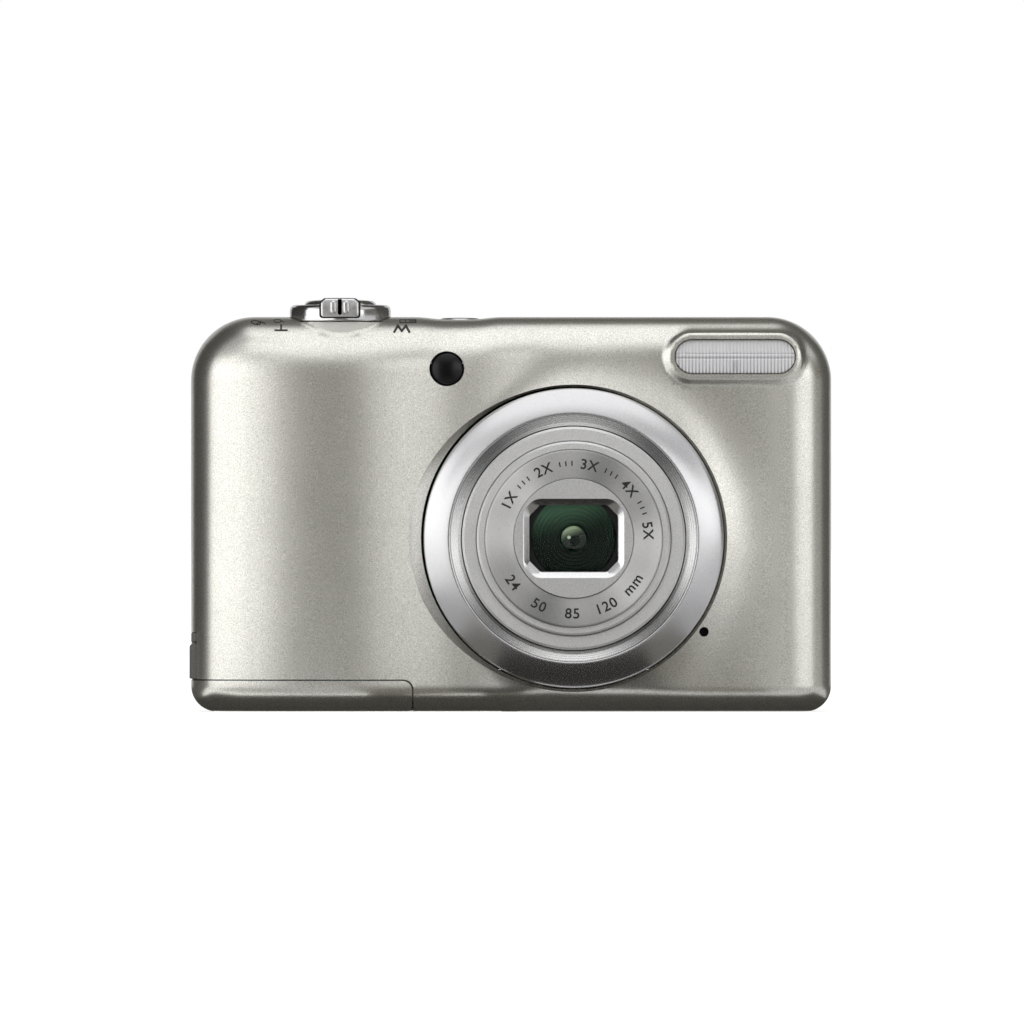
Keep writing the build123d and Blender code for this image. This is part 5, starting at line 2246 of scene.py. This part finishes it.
        self.near_card("lens_foot_card", 0.0094, (0.016, 0.018), (0.012, 0.080), 0.0001, 0.03)
        self.near_card("lens_foot_wings", 0.0094, (0.030, 0.033), (0.012, 0.070), 0.00008, 0.17)
        self.camera()
        bpy.context.scene.view_settings.view_transform = "Standard"


def finishes() -> Finishes:
    """Every finish by its slot's name.

    Returns:
        The materials.
    """
    low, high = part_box("lens_ring")
    lens = (low[0] + high[0]) / 2 / MM, (low[2] + high[2]) / 2 / MM
    made = {
        "shell_silver": MetallicPaint(
            "silver_paint", light=(0.97, 0.958, 0.892), dark=(0.56, 0.552, 0.512),
        ),
        "pedestal_silver": Plastic(
            "pedestal_silver", (0.88, 0.87, 0.82), roughness=0.45, metallic=0.15, grain_mm=0.14,
            relief_mm=0.004, contrast=0.06,
        ),
        "bright_ring": PolishedMetal(
            "satin_chrome", (0.71, 0.705, 0.72), roughness=0.26, haze=0.03, haze_mm=0.35,
        ),
        # Its light and dark wedges round the axis are painted reflection.
        "turned_metal": TurnedMetal(
            "turned_aluminium", lens, light=(0.84, 0.84, 0.84), dark=(0.17, 0.17, 0.17), painted_sheen_sectors=4,
            metallic=0.85, roughness=0.26, pitch_mm=0.30, line_depth_mm=0.012,
        ),
        "barrel_grey": Plastic(
            "barrel_grey", (0.84, 0.84, 0.845), roughness=0.40, metallic=0.6, grain_mm=0.14, relief_mm=0.01,
            contrast=0.16,
        ),
        # Its bright wedges on two opposite sides, and its narrow highlights, are painted reflection.
        "name_ring_metal": TurnedMetal(
            "brushed_name_ring", lens, light=(0.98, 0.98, 0.98), dark=(0.30, 0.30, 0.305), painted_sheen_sectors=2,
            turn_deg=-22.5, metallic=0.22, roughness=0.30, anisotropy=0.8, pitch_mm=0.16,
            line_depth_mm=0.004, painted_glint_share=0.16,
        ),
        "window_grey": Plastic(
            "window_grey", (0.70, 0.70, 0.70), roughness=0.42, metallic=0.6, grain_mm=0.14, relief_mm=0.01,
            contrast=0.16,
        ),
        "bevel_metal": PolishedMetal("bevel_metal", (0.80, 0.80, 0.81), roughness=0.20),
        "blade_black": Plastic(
            "blade_black", (0.008, 0.008, 0.009), roughness=0.6, relief_mm=0.004, specular=0.12
        ),
        "lens_glass": CoatedGlass(
            "coated_glass", (0.97, 1.0, 0.98), (0.35, 1.0, 0.6), roughness=0.0, index=1.14,
        ),
        # Painted green reflection on the baffle rings.
        "lens_depth": DepthWithPaintedReflection(
            "lens_depth", lens, glow=(0.060, 0.120, 0.075), painted_reflection_reach_mm=5.0, pitch_mm=0.62,
        ),
        # Painted green reflection on the inner element, brightest at its top left.
        "inner_glass": DepthWithPaintedReflection(
            "inner_glass", lens, glow=(0.34, 0.42, 0.27), painted_reflection_reach_mm=1.75, pitch_mm=0.5, lean=0.40,
            rings=0.08, roughness=0.20, specular=0.3,
        ),
        # A pale opaque glass for the bead that is a painted highlight.
        "painted_highlight_bead_glass": CoatedGlass(
            "painted_highlight_bead_glass", (0.55, 0.66, 0.50), (0.9, 1.0, 0.8), roughness=0.10, index=2.0, clear=0.0,
            haze_mm=1.5, shade=0.7,
        ),
        # The hollows between its ribs carry painted shade.
        "clear_window": Milky(
            "flash_lens", ridge=(0.95, 0.95, 0.98), painted_valley_shade=(0.38, 0.38, 0.41), centre=OuterForm.flash,
            pitch_mm=FlashWindow.rib_pitch, height_mm=FlashWindow.height,
        ),
        "screen_glass": Plastic("screen_glass", (0.012, 0.012, 0.014), roughness=0.06, grain_mm=4.0),
        "lamp_black": Plastic(
            "smoked_lamp", (0.005, 0.005, 0.006), roughness=0.22, grain_mm=2.0, contrast=0.3, specular=0.35
        ),
        "plated_key": PolishedMetal("plated_key", (0.82, 0.82, 0.83), roughness=0.15),
        "satin_key": PolishedMetal("satin_key", (0.80, 0.80, 0.81), roughness=0.30),
        "rear_key": Plastic(
            "rear_key", (0.62, 0.615, 0.60), roughness=0.32, metallic=0.6, grain_mm=0.14, relief_mm=0.003,
            contrast=0.1,
        ),
        "rubber_grey": Plastic(
            "rubber_grey", (0.16, 0.16, 0.155), roughness=0.7, grain_mm=0.16, relief_mm=0.012, contrast=0.15
        ),
        "frame_black": Plastic(
            "frame_black", (0.010, 0.010, 0.011), relief_mm=0.006, contrast=0.25, specular=0.25
        ),
        "screen_area": Plastic(
            "screen_area", (0.020, 0.023, 0.028), roughness=0.08, grain_mm=3.0, contrast=0.25
        ),
        "record_red": Plastic("record_red", (0.50, 0.02, 0.015), roughness=0.35, contrast=0.1),
        "signal_green": Plastic(
            "signal_green", (0.12, 0.38, 0.16), roughness=0.15, grain_mm=0.4, contrast=0.15
        ),
        "steel_bright": PolishedMetal("steel_bright", (0.66, 0.65, 0.63), roughness=0.24),
        "brass_plated": PolishedMetal("brass_plated", (0.80, 0.72, 0.55), roughness=0.24),
        "board_green": Plastic(
            "board_green", (0.02, 0.14, 0.07), roughness=0.4, grain_mm=1.2, relief_mm=0.01, contrast=0.5
        ),
        "cell_jacket": Plastic(
            "cell_jacket", (0.10, 0.22, 0.36), roughness=0.25, metallic=0.3, grain_mm=2.0, relief_mm=0.002
        ),
        "part_metal": PolishedMetal("part_metal", (0.56, 0.55, 0.53), roughness=0.35),
        "black_print": Plastic("black_print", (0.02, 0.02, 0.02), contrast=0.3),
        "grey_print": Plastic("grey_print", (0.03, 0.03, 0.028), contrast=0.3),
    }
    return {name: finish.build() for name, finish in made.items()}


def dress_solids(made: Finishes) -> None:
    """Gives each solid that stays its own slot's finish.

    Args:
        made: The finishes by slot.
    """
    for row in frame["record"]["subparts"]:
        node = frame["nodes"][row["node"]]
        if node.hide_render:
            continue
        finish = made[row["material_slot"]]
        for material_slot in node.material_slots:
            material_slot.material = finish
        if not node.material_slots:
            node.data.materials.append(finish)


def main() -> None:
    """Builds the camera piece by piece, then the studio."""
    logging.basicConfig(level=logging.INFO, format="%(message)s")
    made = finishes()
    form = OuterForm()
    Shells(form, made["shell_silver"], made["frame_black"]).build()
    LensFront(form.lens, made).build()
    TopControls(form, made).build()
    FlashWindow(form.flash, made).build()
    RearFace(made).build()
    SideCovers(made["rubber_grey"]).build()
    dress_solids(made)
    Studio().build()


if __name__ == "__main__":
    main()
